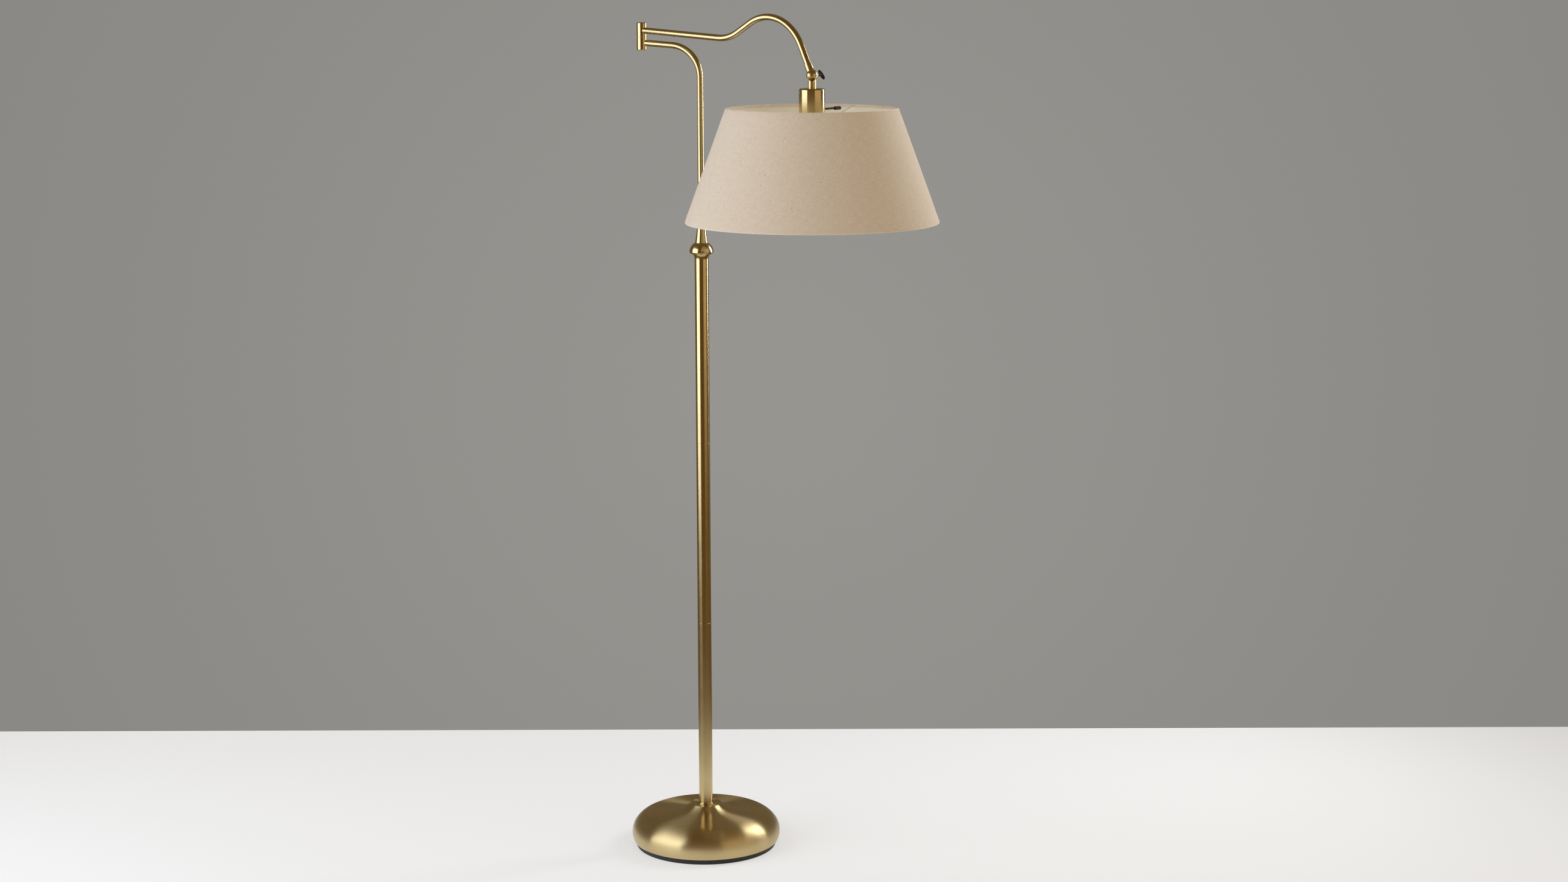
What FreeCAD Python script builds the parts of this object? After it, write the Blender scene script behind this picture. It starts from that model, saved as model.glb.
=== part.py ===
import FreeCAD, Part
import math
import os
import Sketcher

# Bridge floor lamp. Millimetres, +Z up, origin on the floor under the pole's axis.
# A round weighted base carries a pole in three lengths. A thin post rises from the pole's
# collar and bends over to a swing pivot. The arm swings on the pivot and ends in a swivel
# ball, and the shaded lamp head hangs from the ball and tilts about its thumbscrew.

DIMENSIONS = [
    # Base shell, spun sheet brass
    ("base_radius", 138.8),
    ("base_widest_height", 25.5),
    ("base_side_bend", 33.0),
    ("base_shoulder_bend", 44.0),
    ("base_shoulder_angle", 34.0),
    ("base_cone_slope", 4.0),
    ("base_edge_height", 10.0),
    ("base_neck_radius", 29.6),
    ("base_neck_angle", 42.3),
    ("base_waist_bend", 43.8),
    ("base_lip_width", 2.8),
    ("base_lip_rise", 0.6),
    ("base_lip_crown", 0.65),
    ("shell_wall", 1.2),
    # Cast weight, its felt and what clamps them
    ("pad_thickness", 2.5),
    ("pad_inset", 0.5),
    ("weight_inset", 3.9),
    ("weight_thickness", 16.0),
    ("weight_gap", 0.3),
    ("boss_radius", 15.0),
    ("boss_flare", 19.0),
    ("boss_flare_height", 12.0),
    ("recess_margin", 5.0),
    ("recess_headroom", 4.6),
    ("channel_width", 7.2),
    ("bushing_wall", 0.65),
    ("bushing_length", 14.0),
    ("bushing_lap", 0.2),
    ("bushing_flange_length", 1.6),
    ("nipple_radius", 4.8),
    ("nipple_bore", 3.6),
    ("nut_flats", 14.0),
    ("nut_height", 4.2),
    ("washer_radius", 10.0),
    ("washer_thickness", 1.2),
    ("clearance", 0.05),
    # Pole, three equal lengths
    ("pole_radius", 12.7),
    ("pole_wall", 1.2),
    ("lower_pole_length", 348.8),
    ("upper_pole_length", 340.0),
    ("pole_edge_chamfer", 0.35),
    ("insert_length", 20.0),
    ("insert_bore", 4.0),
    ("seat_ring_width", 2.7),
    ("seat_ring_height", 2.2),
    # Collar and neck
    ("cup_height", 8.5),
    ("cup_flare", 3.8),
    ("cup_crown", 0.8),
    ("dome_overhang", 5.5),
    ("dome_lip_height", 3.5),
    ("dome_lip_crown", 1.15),
    ("dome_height", 20.5),
    ("dome_crown", 2.8),
    ("neck_foot_radius", 11.6),
    ("neck_height", 52.0),
    ("neck_crown", 1.05),
    ("neck_lip", 0.8),
    ("post_socket_depth", 30.0),
    ("collar_nipple_length", 60.0),
    # Post, bent tube from the collar to the swing pivot
    ("tube_radius", 5.75),
    ("tube_wall", 1.0),
    ("post_bend", 57.0),
    ("run_slope", 4.0),
    ("pivot_x", -106.0),
    ("pivot_y", 40.0),
    ("post_rise", 307.0),
    # Swing pivot
    ("knuckle_radius", 9.25),
    ("knuckle_below_run", 13.5),
    ("knuckle_above_run", 10.2),
    ("arm_above_seam", 11.8),
    ("upper_knuckle_height", 25.8),
    ("knuckle_fillet", 1.6),
    ("knuckle_floor", 4.0),
    ("swing_washer", 0.6),
    ("swing_washer_inset", 1.0),
    ("pin_bore", 3.2),
    ("wire_hole", 2.8),
    ("tube_seat", 2.3),
    ("bearing_height", 4.5),
    ("cavity_gap", 0.3),
    ("cap_thickness", 2.6),
    ("cap_spigot", 2.0),
    ("swing_nut_flats", 11.6),
    ("swing_nut_height", 4.0),
    ("wave_washer", 0.6),
    # Arm, S-bent tube in one upright plane
    ("arm_turn", 43.0),
    ("arm_slope", 3.0),
    ("arm_first_run", 194.9),
    ("arm_bend", 87.7),
    ("arm_rise_angle", 31.9),
    ("arm_middle_run", 33.4),
    ("arm_drop_angle", 91.9),
    ("arm_last_run", 55.4),
    # Swivel ball and thumbscrew
    ("ball_radius", 10.0),
    ("ball_gap", 0.05),
    ("swivel_neck_wall", 1.15),
    ("ferrule_reach", 20.4),
    ("ferrule_socket", 9.0),
    ("neck_running_gap", 0.3),
    ("ball_flat_depth", 1.0),
    ("screw_radius", 2.5),
    ("screw_cover", 2.5),
    ("thumb_washer_radius", 4.2),
    ("thumb_washer_thickness", 1.2),
    ("thumb_boss_radius", 3.4),
    ("thumb_boss_end", 21.0),
    ("key_beyond_boss", 3.3),
    ("key_half_span", 10.0),
    ("key_half_tip", 2.4),
    ("key_side_crown", 1.85),
    ("key_end_crown", 1.4),
    ("key_thickness", 2.4),
    ("key_turn", 40.0),
    # Socket cup and what it holds
    ("cup_top_drop", 22.5),
    ("socket_cup_radius", 22.4),
    ("socket_cup_wall", 1.0),
    ("socket_cup_height", 64.0),
    ("socket_cup_fillet", 3.2),
    ("cup_nipple_above", 9.0),
    ("cup_nipple_below", 15.0),
    ("socket_top_drop", 8.0),
    ("socket_radius", 17.0),
    ("socket_thread_height", 0.8),
    ("socket_bottom_drop", 79.0),
    ("shell_cavity_depth", 28.0),
    ("screw_shell_radius", 14.2),
    ("screw_shell_wall", 0.6),
    ("screw_shell_length", 24.0),
    ("contact_radius", 4.0),
    ("contact_thickness", 0.8),
    ("ring_nut_wall", 4.2),
    ("ring_nut_height", 8.0),
    # Rotary switch
    ("switch_drop", 36.0),
    ("switch_radius", 1.9),
    ("switch_start", 9.0),
    ("switch_hole", 2.6),
    ("knob_start", 58.0),
    ("knob_radius", 3.1),
    ("knob_grip", 8.0),
    ("switch_reach", 74.0),
    # Bulb
    ("bulb_cap_gap", 0.2),
    ("bulb_cap_length", 26.5),
    ("bulb_cap_tip", 3.5),
    ("bulb_neck_step", 0.2),
    ("bulb_radius", 30.0),
    ("bulb_centre_drop", 53.0),
    ("bulb_neck_drop", 9.0),
    ("bulb_neck_bend", 120.0),
    ("bulb_turn_angle", 30.0),
    ("glass_wall", 1.0),
    # Shade
    ("shade_top_drop", 55.5),
    ("shade_top_radius", 148.5),
    ("shade_bottom_radius", 220.0),
    ("shade_height", 196.0),
    ("fabric_thickness", 0.6),
    ("lining_thickness", 0.8),
    ("hem_height", 7.0),
    ("hem_thickness", 0.5),
    ("wire_radius", 1.5),
    ("fitter_hole_gap", 0.5),
    ("fitter_rim_radius", 24.6),
    ("fitter_rim_depth", 4.0),
    ("fitter_thickness", 1.5),
    ("spoke_radius", 1.2),
    ("spoke_count", 3),
    ("spoke_turn", 59.4),
]

document = FreeCAD.newDocument("bridge_floor_lamp")
sheet = document.addObject("Spreadsheet::Sheet", "Sizes")
for row, (alias, amount) in enumerate(DIMENSIONS, start=1):
    sheet.set(f"A{row}", alias)
    sheet.set(f"B{row}", str(amount))
    sheet.setAlias(f"B{row}", alias)
document.recompute()


class Size:
    """A number that remembers the spreadsheet expression it comes from."""

    def __init__(self, text, value):
        self.text = text
        self.value = float(value)

    def __add__(self, other):
        other = as_size(other)
        return Size(f"({self.text} + {other.text})", self.value + other.value)

    def __sub__(self, other):
        other = as_size(other)
        return Size(f"({self.text} - {other.text})", self.value - other.value)

    def __mul__(self, other):
        other = as_size(other)
        return Size(f"({self.text} * {other.text})", self.value * other.value)

    def __truediv__(self, other):
        other = as_size(other)
        return Size(f"({self.text} / {other.text})", self.value / other.value)

    def __neg__(self):
        return Size(f"(0 - {self.text})", -self.value)


def as_size(thing):
    if isinstance(thing, Size):
        return thing
    return Size(f"({thing})", thing)


def size(alias):
    return Size(f"Sizes.{alias}", sheet.get(alias))


def sine(angle):
    return Size(f"sin({angle.text})", math.sin(math.radians(angle.value)))


def cosine(angle):
    return Size(f"cos({angle.text})", math.cos(math.radians(angle.value)))


def tangent(angle):
    return Size(f"tan({angle.text})", math.tan(math.radians(angle.value)))


def root(amount):
    return Size(f"sqrt({amount.text})", math.sqrt(amount.value))


def length(across, up):
    return root(across * across + up * up)


def crowned(start, end, crown):
    """The radius of the arc from start to end that stands proud of its chord by crown."""
    across = as_size(end[0]) - start[0]
    up = as_size(end[1]) - start[1]
    return ((across * across + up * up) / 4 + crown * crown) / (crown * 2)


# ---------------------------------------------------------------- drawing helpers

FLAT_Z = FreeCAD.Vector(0, 0, 1)
OUTWARD = 1
INWARD = -1
nodes = []


def new_body(name, placement=None):
    """A body whose label names its file, placed in the lamp's frame."""
    body = document.addObject("PartDesign::Body", name + "_body")
    body.Label = name
    if placement is not None:
        body.Placement = placement
    nodes.append(body)
    return body


def new_sketch(body, name, role, offset=None):
    plane = [item for item in body.Origin.OriginFeatures if item.Role == role][0]
    sketch = body.newObject("Sketcher::SketchObject", name)
    sketch.AttachmentSupport = [(plane, "")]
    sketch.MapMode = "FlatFace"
    if offset is not None:
        sketch.AttachmentOffset = offset
    return sketch


def bind(item, prop, amount):
    item.setExpression(prop, as_size(amount).text)


def arc_through(start, end, radius, bulge):
    """The arc from start to end. A positive bulge lies right of the way from start to end."""
    half = (end - start) * 0.5
    reach = max(radius * radius - half.dot(half), 0.0)
    left = FreeCAD.Vector(-half.y, half.x, 0).normalize()
    centre = start + half + left * (math.sqrt(reach) * bulge)
    first = math.atan2(start.y - centre.y, start.x - centre.x)
    last = math.atan2(end.y - centre.y, end.x - centre.x)
    circle = Part.Circle(centre, FLAT_Z, radius)
    if bulge > 0:
        return Part.ArcOfCircle(circle, first, last), 1, 2
    return Part.ArcOfCircle(circle, last, first), 2, 1


def draw_outline(sketch, corners, closed=True):
    """Draws an outline. A corner is (x, y), or (x, y, radius, bulge) when an arc leads to it."""
    points = [FreeCAD.Vector(as_size(c[0]).value, as_size(c[1]).value, 0) for c in corners]
    count = len(corners)
    spans = range(count) if closed else range(count - 1)
    ends = []
    for index in spans:
        follow = (index + 1) % count
        target = corners[follow]
        if len(target) == 2:
            line = Part.LineSegment(points[index], points[follow])
            ends.append((sketch.addGeometry(line), 1, 2))
        else:
            radius = as_size(target[2])
            arc, begin, finish = arc_through(points[index], points[follow], radius.value, target[3])
            edge = sketch.addGeometry(arc)
            ends.append((edge, begin, finish))
            fixed = sketch.addConstraint(Sketcher.Constraint("Radius", edge, radius.value))
            sketch.setExpression(f"Constraints[{fixed}]", radius.text)
    for index in range(len(ends)):
        if not closed and index == len(ends) - 1:
            break
        edge, _, finish = ends[index]
        following, begin, _ = ends[(index + 1) % len(ends)]
        sketch.addConstraint(Sketcher.Constraint("Coincident", edge, finish, following, begin))
    places = [(ends[i][0], ends[i][1]) for i in range(len(ends))]
    if not closed:
        places.append((ends[-1][0], ends[-1][2]))
    for index, (edge, point) in enumerate(places):
        for kind, amount in (("DistanceX", corners[index][0]), ("DistanceY", corners[index][1])):
            amount = as_size(amount)
            fixed = sketch.addConstraint(Sketcher.Constraint(kind, -1, 1, edge, point, amount.value))
            sketch.setExpression(f"Constraints[{fixed}]", amount.text)


def draw_circle(sketch, x, y, radius):
    x, y, radius = as_size(x), as_size(y), as_size(radius)
    centre = FreeCAD.Vector(x.value, y.value, 0)
    edge = sketch.addGeometry(Part.Circle(centre, FLAT_Z, radius.value))
    fixed = sketch.addConstraint(Sketcher.Constraint("Radius", edge, radius.value))
    sketch.setExpression(f"Constraints[{fixed}]", radius.text)
    for kind, amount in (("DistanceX", x), ("DistanceY", y)):
        fixed = sketch.addConstraint(Sketcher.Constraint(kind, -1, 1, edge, 3, amount.value))
        sketch.setExpression(f"Constraints[{fixed}]", amount.text)


def revolve(body, name, corners, cut=False):
    """Turns an outline of (radius, height) corners about the body's own Z axis."""
    sketch = new_sketch(body, name + "_outline", "XZ_Plane")
    draw_outline(sketch, corners)
    kind = "PartDesign::Groove" if cut else "PartDesign::Revolution"
    feature = body.newObject(kind, name)
    feature.Profile = sketch
    feature.ReferenceAxis = (sketch, ["V_Axis"])
    feature.Angle = 360
    return feature


def turned(name, corners, placement=None):
    """A turned or spun piece, made whole from one outline."""
    body = new_body(name, placement)
    revolve(body, name, corners)
    return body


def ring(name, inner, outer, bottom, top, placement=None):
    return turned(name, [(inner, bottom), (outer, bottom), (outer, top), (inner, top)], placement)


def drill(body, name, placement_offset, radius, depth):
    """Cuts a round hole of the given depth, along the sketch's own upward direction."""
    sketch = new_sketch(body, name + "_outline", "XY_Plane", placement_offset)
    draw_circle(sketch, 0, 0, radius)
    pocket = body.newObject("PartDesign::Pocket", name)
    pocket.Profile = sketch
    pocket.Type = "Length"
    pocket.Reversed = True
    bind(pocket, "Length", depth)
    return pocket


def hexagon(name, flats, bore, bottom, top, placement=None):
    """A hexagonal nut standing on its bottom height."""
    body = new_body(name, placement)
    sketch = new_sketch(body, name + "_outline", "XY_Plane")
    bind(sketch, "AttachmentOffset.Base.z", bottom)
    corner_radius = flats / 2 / cosine(as_size(30))
    corners = []
    for index in range(6):
        turn = as_size(60 * index + 30)
        corners.append((corner_radius * cosine(turn), corner_radius * sine(turn)))
    draw_outline(sketch, corners)
    draw_circle(sketch, 0, 0, bore)
    pad = body.newObject("PartDesign::Pad", name)
    pad.Profile = sketch
    bind(pad, "Length", top - bottom)
    return body


def bent_tube(name, outer, wall, corners, role, offset, placement):
    """A bent tube: a ring swept along a path of runs and arcs in the body's XZ plane."""
    body = new_body(name, placement)
    path = new_sketch(body, name + "_path", "XZ_Plane")
    draw_outline(path, corners, closed=False)
    section = new_sketch(body, name + "_section", role, offset)
    draw_circle(section, 0, 0, outer)
    draw_circle(section, 0, 0, outer - wall)
    pipe = body.newObject("PartDesign::AdditivePipe", name)
    pipe.Profile = section
    pipe.Spine = path
    pipe.Mode = "Standard"
    return body


def at_height(height):
    return FreeCAD.Placement(FreeCAD.Vector(0, 0, height.value), FreeCAD.Rotation())


def pointing(origin, direction, upright=None):
    """A placement whose own Z axis runs along direction, with its X axis near upright."""
    upright = upright or FreeCAD.Vector(0, 0, 1)
    return FreeCAD.Placement(origin, FreeCAD.Rotation(upright, FreeCAD.Vector(), direction, "ZXY"))


def outward_from(mouth):
    """The offset of a sketch at mouth that faces along its body's X axis."""
    return pointing(mouth, FreeCAD.Vector(1, 0, 0), FreeCAD.Vector(0, 1, 0))


# ---------------------------------------------------------------- shared heights and radii

clearance = size("clearance")
nipple_radius = size("nipple_radius")
pole_radius = size("pole_radius")
pole_bore = pole_radius - size("pole_wall")

# Base shell, from its widest circle up and in: side bend, shoulder bend, shallow cone, waist
# bend and lip. Each joint of two bends is tangent.
side_centre_radius = size("base_radius") - size("base_side_bend")
edge_fall = size("base_widest_height") - size("base_edge_height")


def side_radius_at_edge(bend):
    return side_centre_radius + root(bend * bend - edge_fall * edge_fall)


shoulder_angle = size("base_shoulder_angle")
cone_slope = size("base_cone_slope")
neck_angle = size("base_neck_angle")
shell_wall = size("shell_wall")
shoulder_centre = (
    side_centre_radius + (size("base_side_bend") - size("base_shoulder_bend")) * cosine(shoulder_angle),
    size("base_widest_height") + (size("base_side_bend") - size("base_shoulder_bend")) * sine(shoulder_angle),
)
waist_radius = size("base_neck_radius") + size("base_waist_bend") * (sine(neck_angle) - sine(cone_slope))
cone_top_radius = shoulder_centre[0] + size("base_shoulder_bend") * sine(cone_slope)
waist_height = (
    shoulder_centre[1]
    + size("base_shoulder_bend") * cosine(cone_slope)
    + (cone_top_radius - waist_radius) * tangent(cone_slope)
)
neck_height = waist_height + size("base_waist_bend") * (cosine(cone_slope) - cosine(neck_angle))
seat_height = neck_height + size("base_lip_rise")
first_seam = seat_height + size("lower_pole_length")
second_seam = first_seam + size("upper_pole_length")
pole_top = second_seam + size("upper_pole_length")


def shell_corners(inset):
    """The shell's surface from its lower edge to its neck, moved in by inset."""
    side = size("base_side_bend") - inset
    shoulder = size("base_shoulder_bend") - inset
    waist = size("base_waist_bend") + inset
    return [
        (side_radius_at_edge(side), size("base_edge_height")),
        (
            side_centre_radius + side * cosine(shoulder_angle),
            size("base_widest_height") + side * sine(shoulder_angle),
            side,
            OUTWARD,
        ),
        (
            shoulder_centre[0] + shoulder * sine(cone_slope),
            shoulder_centre[1] + shoulder * cosine(cone_slope),
            shoulder,
            OUTWARD,
        ),
        (waist_radius - inset * sine(cone_slope), waist_height - inset * cosine(cone_slope)),
        (
            size("base_neck_radius") - inset * sine(neck_angle),
            neck_height - inset * cosine(neck_angle),
            waist,
            INWARD,
        ),
    ]


def reversed_outline(corners):
    """The same outline the other way round, with each arc's data moved to its new end."""
    turned_round = []
    for index in range(len(corners) - 1, -1, -1):
        corner = corners[index][:2]
        if index + 1 < len(corners) and len(corners[index + 1]) == 4:
            corner = corner + (corners[index + 1][2], -corners[index + 1][3])
        turned_round.append(corner)
    return turned_round


# ---------------------------------------------------------------- base

outer_skin = shell_corners(as_size(0))
inner_skin = reversed_outline(shell_corners(shell_wall))
lip_end = (size("base_neck_radius") - size("base_lip_width"), seat_height)
lip_bend = crowned(outer_skin[-1], lip_end, size("base_lip_crown"))
turned(
    "base_shell",
    outer_skin
    + [lip_end + (lip_bend, OUTWARD)]
    + [(nipple_radius, seat_height)]
    + [(nipple_radius, seat_height - shell_wall)]
    + [(lip_end[0] - shell_wall, seat_height - shell_wall)]
    + inner_skin,
)

weight_bottom = size("pad_thickness")
weight_top = weight_bottom + size("weight_thickness")
weight_radius = side_radius_at_edge(size("base_side_bend")) - size("weight_inset")
recess_radius = size("washer_radius") + size("recess_margin")
washer_bottom = weight_bottom + size("recess_headroom") + size("nut_height")
recess_top = washer_bottom + size("washer_thickness")
shell_fit_radius = side_radius_at_edge(size("base_side_bend") - shell_wall) - size("weight_gap")
boss_radius = size("boss_radius")
boss_top = seat_height - shell_wall
weight = turned(
    "base_weight",
    [
        (recess_radius, weight_bottom),
        (weight_radius, weight_bottom),
        (weight_radius, size("base_edge_height")),
        (shell_fit_radius, size("base_edge_height")),
        (shell_fit_radius, weight_top),
        (boss_radius + size("boss_flare"), weight_top),
        (boss_radius, weight_top + size("boss_flare_height")),
        (boss_radius, boss_top),
        (nipple_radius, boss_top),
        (nipple_radius, recess_top),
        (recess_radius, recess_top),
    ],
)
channel = new_sketch(weight, "cord_channel_outline", "XY_Plane")
bind(channel, "AttachmentOffset.Base.z", weight_bottom)
half_channel = size("channel_width") / 2
draw_outline(
    channel,
    [
        (-half_channel, 0),
        (half_channel, 0),
        (half_channel, weight_radius + half_channel),
        (-half_channel, weight_radius + half_channel),
    ],
)
channel_cut = weight.newObject("PartDesign::Pocket", "cord_channel")
channel_cut.Profile = channel
channel_cut.Reversed = True
bind(channel_cut, "Length", size("channel_width"))

ring("base_pad", as_size(0), weight_radius - size("pad_inset"), as_size(0), weight_bottom)

bushing_start = weight_radius - size("bushing_length")
bushing_end = weight_radius + size("bushing_flange_length")
bushing_radius = half_channel - clearance
bushing_bore = bushing_radius - size("bushing_wall")
bushing_flange = half_channel + size("bushing_lap")
bushing_height = weight_bottom + half_channel
BACKWARD = FreeCAD.Vector(0, 1, 0)
turned(
    "cord_bushing",
    [
        (bushing_bore, bushing_start),
        (bushing_radius, bushing_start),
        (bushing_radius, weight_radius),
        (bushing_flange, weight_radius),
        (bushing_flange, bushing_end),
        (bushing_bore, bushing_end),
    ],
    pointing(FreeCAD.Vector(0, 0, bushing_height.value), BACKWARD),
)

nut_bottom = washer_bottom - size("nut_height")
ring("base_washer", nipple_radius, size("washer_radius"), washer_bottom, recess_top)
hexagon("base_nut", size("nut_flats"), nipple_radius, nut_bottom, washer_bottom)
ring(
    "base_nipple",
    size("nipple_bore"),
    nipple_radius,
    nut_bottom - clearance,
    seat_height + size("insert_length") / 2,
)

# ---------------------------------------------------------------- pole

ring("foot_insert", nipple_radius, pole_bore, seat_height, seat_height + size("insert_length"))
seat_ring_radius = pole_radius + size("seat_ring_width")
seat_ring_round = size("seat_ring_height") / 2
seat_ring_top = seat_height + size("seat_ring_height")
turned(
    "pole_seat_ring",
    [
        (pole_radius, seat_height),
        (seat_ring_radius, seat_height),
        (seat_ring_radius, seat_ring_top - seat_ring_round),
        (seat_ring_radius - seat_ring_round, seat_ring_top, seat_ring_round, OUTWARD),
        (pole_radius, seat_ring_top),
    ],
)

pole_lengths = [
    ("lower_pole", seat_height, first_seam),
    ("middle_pole", first_seam, second_seam),
    ("upper_pole", second_seam, pole_top),
]
edge_chamfer = size("pole_edge_chamfer")
for pole_name, bottom, top in pole_lengths:
    turned(
        pole_name,
        [
            (pole_bore, bottom),
            (pole_radius - edge_chamfer, bottom),
            (pole_radius, bottom + edge_chamfer),
            (pole_radius, top - edge_chamfer),
            (pole_radius - edge_chamfer, top),
            (pole_bore, top),
        ],
    )
insert_length = size("insert_length")
for coupler_name, seam in (("lower_coupler", first_seam), ("upper_coupler", second_seam)):
    ring(coupler_name, size("insert_bore"), pole_bore, seam - insert_length, seam + insert_length)
ring("top_insert", nipple_radius, pole_bore, pole_top - insert_length, pole_top)

# ---------------------------------------------------------------- collar

cup_top = pole_top + size("cup_height")
dome_top = cup_top + size("dome_height")
neck_top = dome_top + size("neck_height")
tube_radius = size("tube_radius")
socket_bottom = neck_top - size("post_socket_depth")
ring(
    "collar_nipple",
    size("nipple_bore"),
    nipple_radius,
    pole_top - insert_length,
    pole_top - insert_length + size("collar_nipple_length"),
)
cup_foot = (pole_radius, pole_top)
dome_foot = (pole_radius + size("cup_flare"), cup_top)
dome_edge = (dome_foot[0] + size("dome_overhang"), cup_top + size("dome_lip_height"))
neck_foot = (size("neck_foot_radius"), dome_top)
neck_lip = (tube_radius + size("neck_lip"), neck_top)
turned(
    "collar_cup",
    [
        (nipple_radius, pole_top),
        cup_foot,
        dome_foot + (crowned(cup_foot, dome_foot, size("cup_crown")), INWARD),
        (nipple_radius, cup_top),
    ],
)
turned(
    "collar_dome",
    [
        (nipple_radius, cup_top),
        dome_foot,
        dome_edge + (crowned(dome_foot, dome_edge, size("dome_lip_crown")), OUTWARD),
        neck_foot + (crowned(dome_edge, neck_foot, size("dome_crown")), OUTWARD),
        (nipple_radius, dome_top),
    ],
)
turned(
    "neck_cone",
    [
        (nipple_radius, dome_top),
        neck_foot,
        neck_lip + (crowned(neck_foot, neck_lip, size("neck_crown")), INWARD),
        (tube_radius, neck_top),
        (tube_radius, socket_bottom),
        (nipple_radius, socket_bottom),
    ],
)

# ---------------------------------------------------------------- post

pivot_x = size("pivot_x")
pivot_y = size("pivot_y")
pivot_reach = length(pivot_x, pivot_y)
knuckle_radius = size("knuckle_radius")
seat_radius = knuckle_radius - size("tube_seat")
run_slope = size("run_slope")
post_bend = size("post_bend")
run_height = neck_top + size("post_rise")
run_seat_height = run_height - seat_radius * tangent(run_slope)
bend_reach = post_bend * (as_size(1) - sine(run_slope))
bend_top_height = run_height - (pivot_reach - bend_reach) * tangent(run_slope)
bend_start_height = bend_top_height - post_bend * cosine(run_slope)

# The post's own X axis points from the pole's axis to the swing axis.
post_direction = FreeCAD.Vector(pivot_x.value, pivot_y.value, 0).normalize()
post_placement = FreeCAD.Placement(
    FreeCAD.Vector(),
    FreeCAD.Rotation(post_direction, FreeCAD.Vector(), FLAT_Z, "ZXY"),
)
post_path = [
    (as_size(0), socket_bottom),
    (as_size(0), bend_start_height),
    (bend_reach, bend_top_height, post_bend, INWARD),
    (pivot_reach - seat_radius, run_seat_height),
]
bent_tube(
    "post_tube",
    tube_radius,
    size("tube_wall"),
    post_path,
    "XY_Plane",
    at_height(socket_bottom),
    post_placement,
)

# ---------------------------------------------------------------- swing pivot

pivot_place = FreeCAD.Vector(pivot_x.value, pivot_y.value, 0)
seam = run_height + size("knuckle_above_run")
half_washer = size("swing_washer") / 2
knuckle_bottom = run_height - size("knuckle_below_run")
knuckle_top = seam + size("upper_knuckle_height")
arm_height = seam + size("arm_above_seam")
pin_bottom = knuckle_bottom + size("knuckle_floor")
bearing_top = seam + size("bearing_height")
wave_top = bearing_top + clearance + size("wave_washer")
swing_nut_top = wave_top + size("swing_nut_height")
knuckle_fillet = size("knuckle_fillet")
wave_radius = size("swing_nut_flats") / 2 / cosine(as_size(30))
cavity_radius = wave_radius + size("cavity_gap")


def upright_at_pivot(facing):
    """A placement on the swing axis whose own X axis looks along facing."""
    return FreeCAD.Placement(pivot_place, FreeCAD.Rotation(facing, FreeCAD.Vector(), FLAT_Z, "ZXY"))


def side_hole(body, name, height, slope, start, hole_radius):
    """Cuts a round side hole that leaves along the body's X axis, falling at slope."""
    axis = FreeCAD.Vector(cosine(slope).value, 0, -sine(slope).value)
    mouth = FreeCAD.Vector(0, 0, height.value) + axis * start.value
    offset = pointing(mouth, axis, FreeCAD.Vector(0, 1, 0))
    drill(body, name, offset, hole_radius, knuckle_radius * 2)


run_facing = post_direction * -1
lower = new_body("lower_knuckle", upright_at_pivot(run_facing))
revolve(
    lower,
    "lower_knuckle_blank",
    [
        (as_size(0), knuckle_bottom),
        (knuckle_radius - knuckle_fillet, knuckle_bottom),
        (knuckle_radius, knuckle_bottom + knuckle_fillet, knuckle_fillet, OUTWARD),
        (knuckle_radius, seam - half_washer),
        (nipple_radius, seam - half_washer),
        (nipple_radius, pin_bottom),
        (as_size(0), pin_bottom),
    ],
)
side_hole(lower, "run_seat", run_height, run_slope, seat_radius / cosine(run_slope), tube_radius)
side_hole(lower, "run_wire_hole", run_height, run_slope, as_size(0), size("wire_hole"))

pin = new_body("swing_pin", upright_at_pivot(run_facing))
revolve(
    pin,
    "swing_pin_blank",
    [
        (size("pin_bore"), pin_bottom),
        (nipple_radius, pin_bottom),
        (nipple_radius, swing_nut_top + clearance),
        (size("pin_bore"), swing_nut_top + clearance),
    ],
)
side_hole(pin, "pin_wire_hole", run_height, run_slope, as_size(0), size("wire_hole"))

at_pivot = FreeCAD.Placement(pivot_place, FreeCAD.Rotation())
ring(
    "swing_washer",
    nipple_radius,
    knuckle_radius - size("swing_washer_inset"),
    seam - half_washer,
    seam + half_washer - clearance,
    at_pivot,
)
ring("wave_washer", nipple_radius, wave_radius, bearing_top + clearance, wave_top, at_pivot)
hexagon("swing_nut", size("swing_nut_flats"), nipple_radius, wave_top, swing_nut_top, at_pivot)

# The arm's plane: along_arm runs level from the swing axis towards the lamp head, and
# across_arm is the plane's normal, which the ball's thumbscrew and the switch both follow.
arm_turn = math.radians(size("arm_turn").value)
along_arm = FreeCAD.Vector(math.cos(arm_turn), -math.sin(arm_turn), 0)
across_arm = FreeCAD.Vector(math.sin(arm_turn), math.cos(arm_turn), 0)
cap_seat = knuckle_top - size("cap_thickness")
running_bore = nipple_radius + clearance
arm_seat_radius = knuckle_radius - size("tube_seat") + clearance

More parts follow.
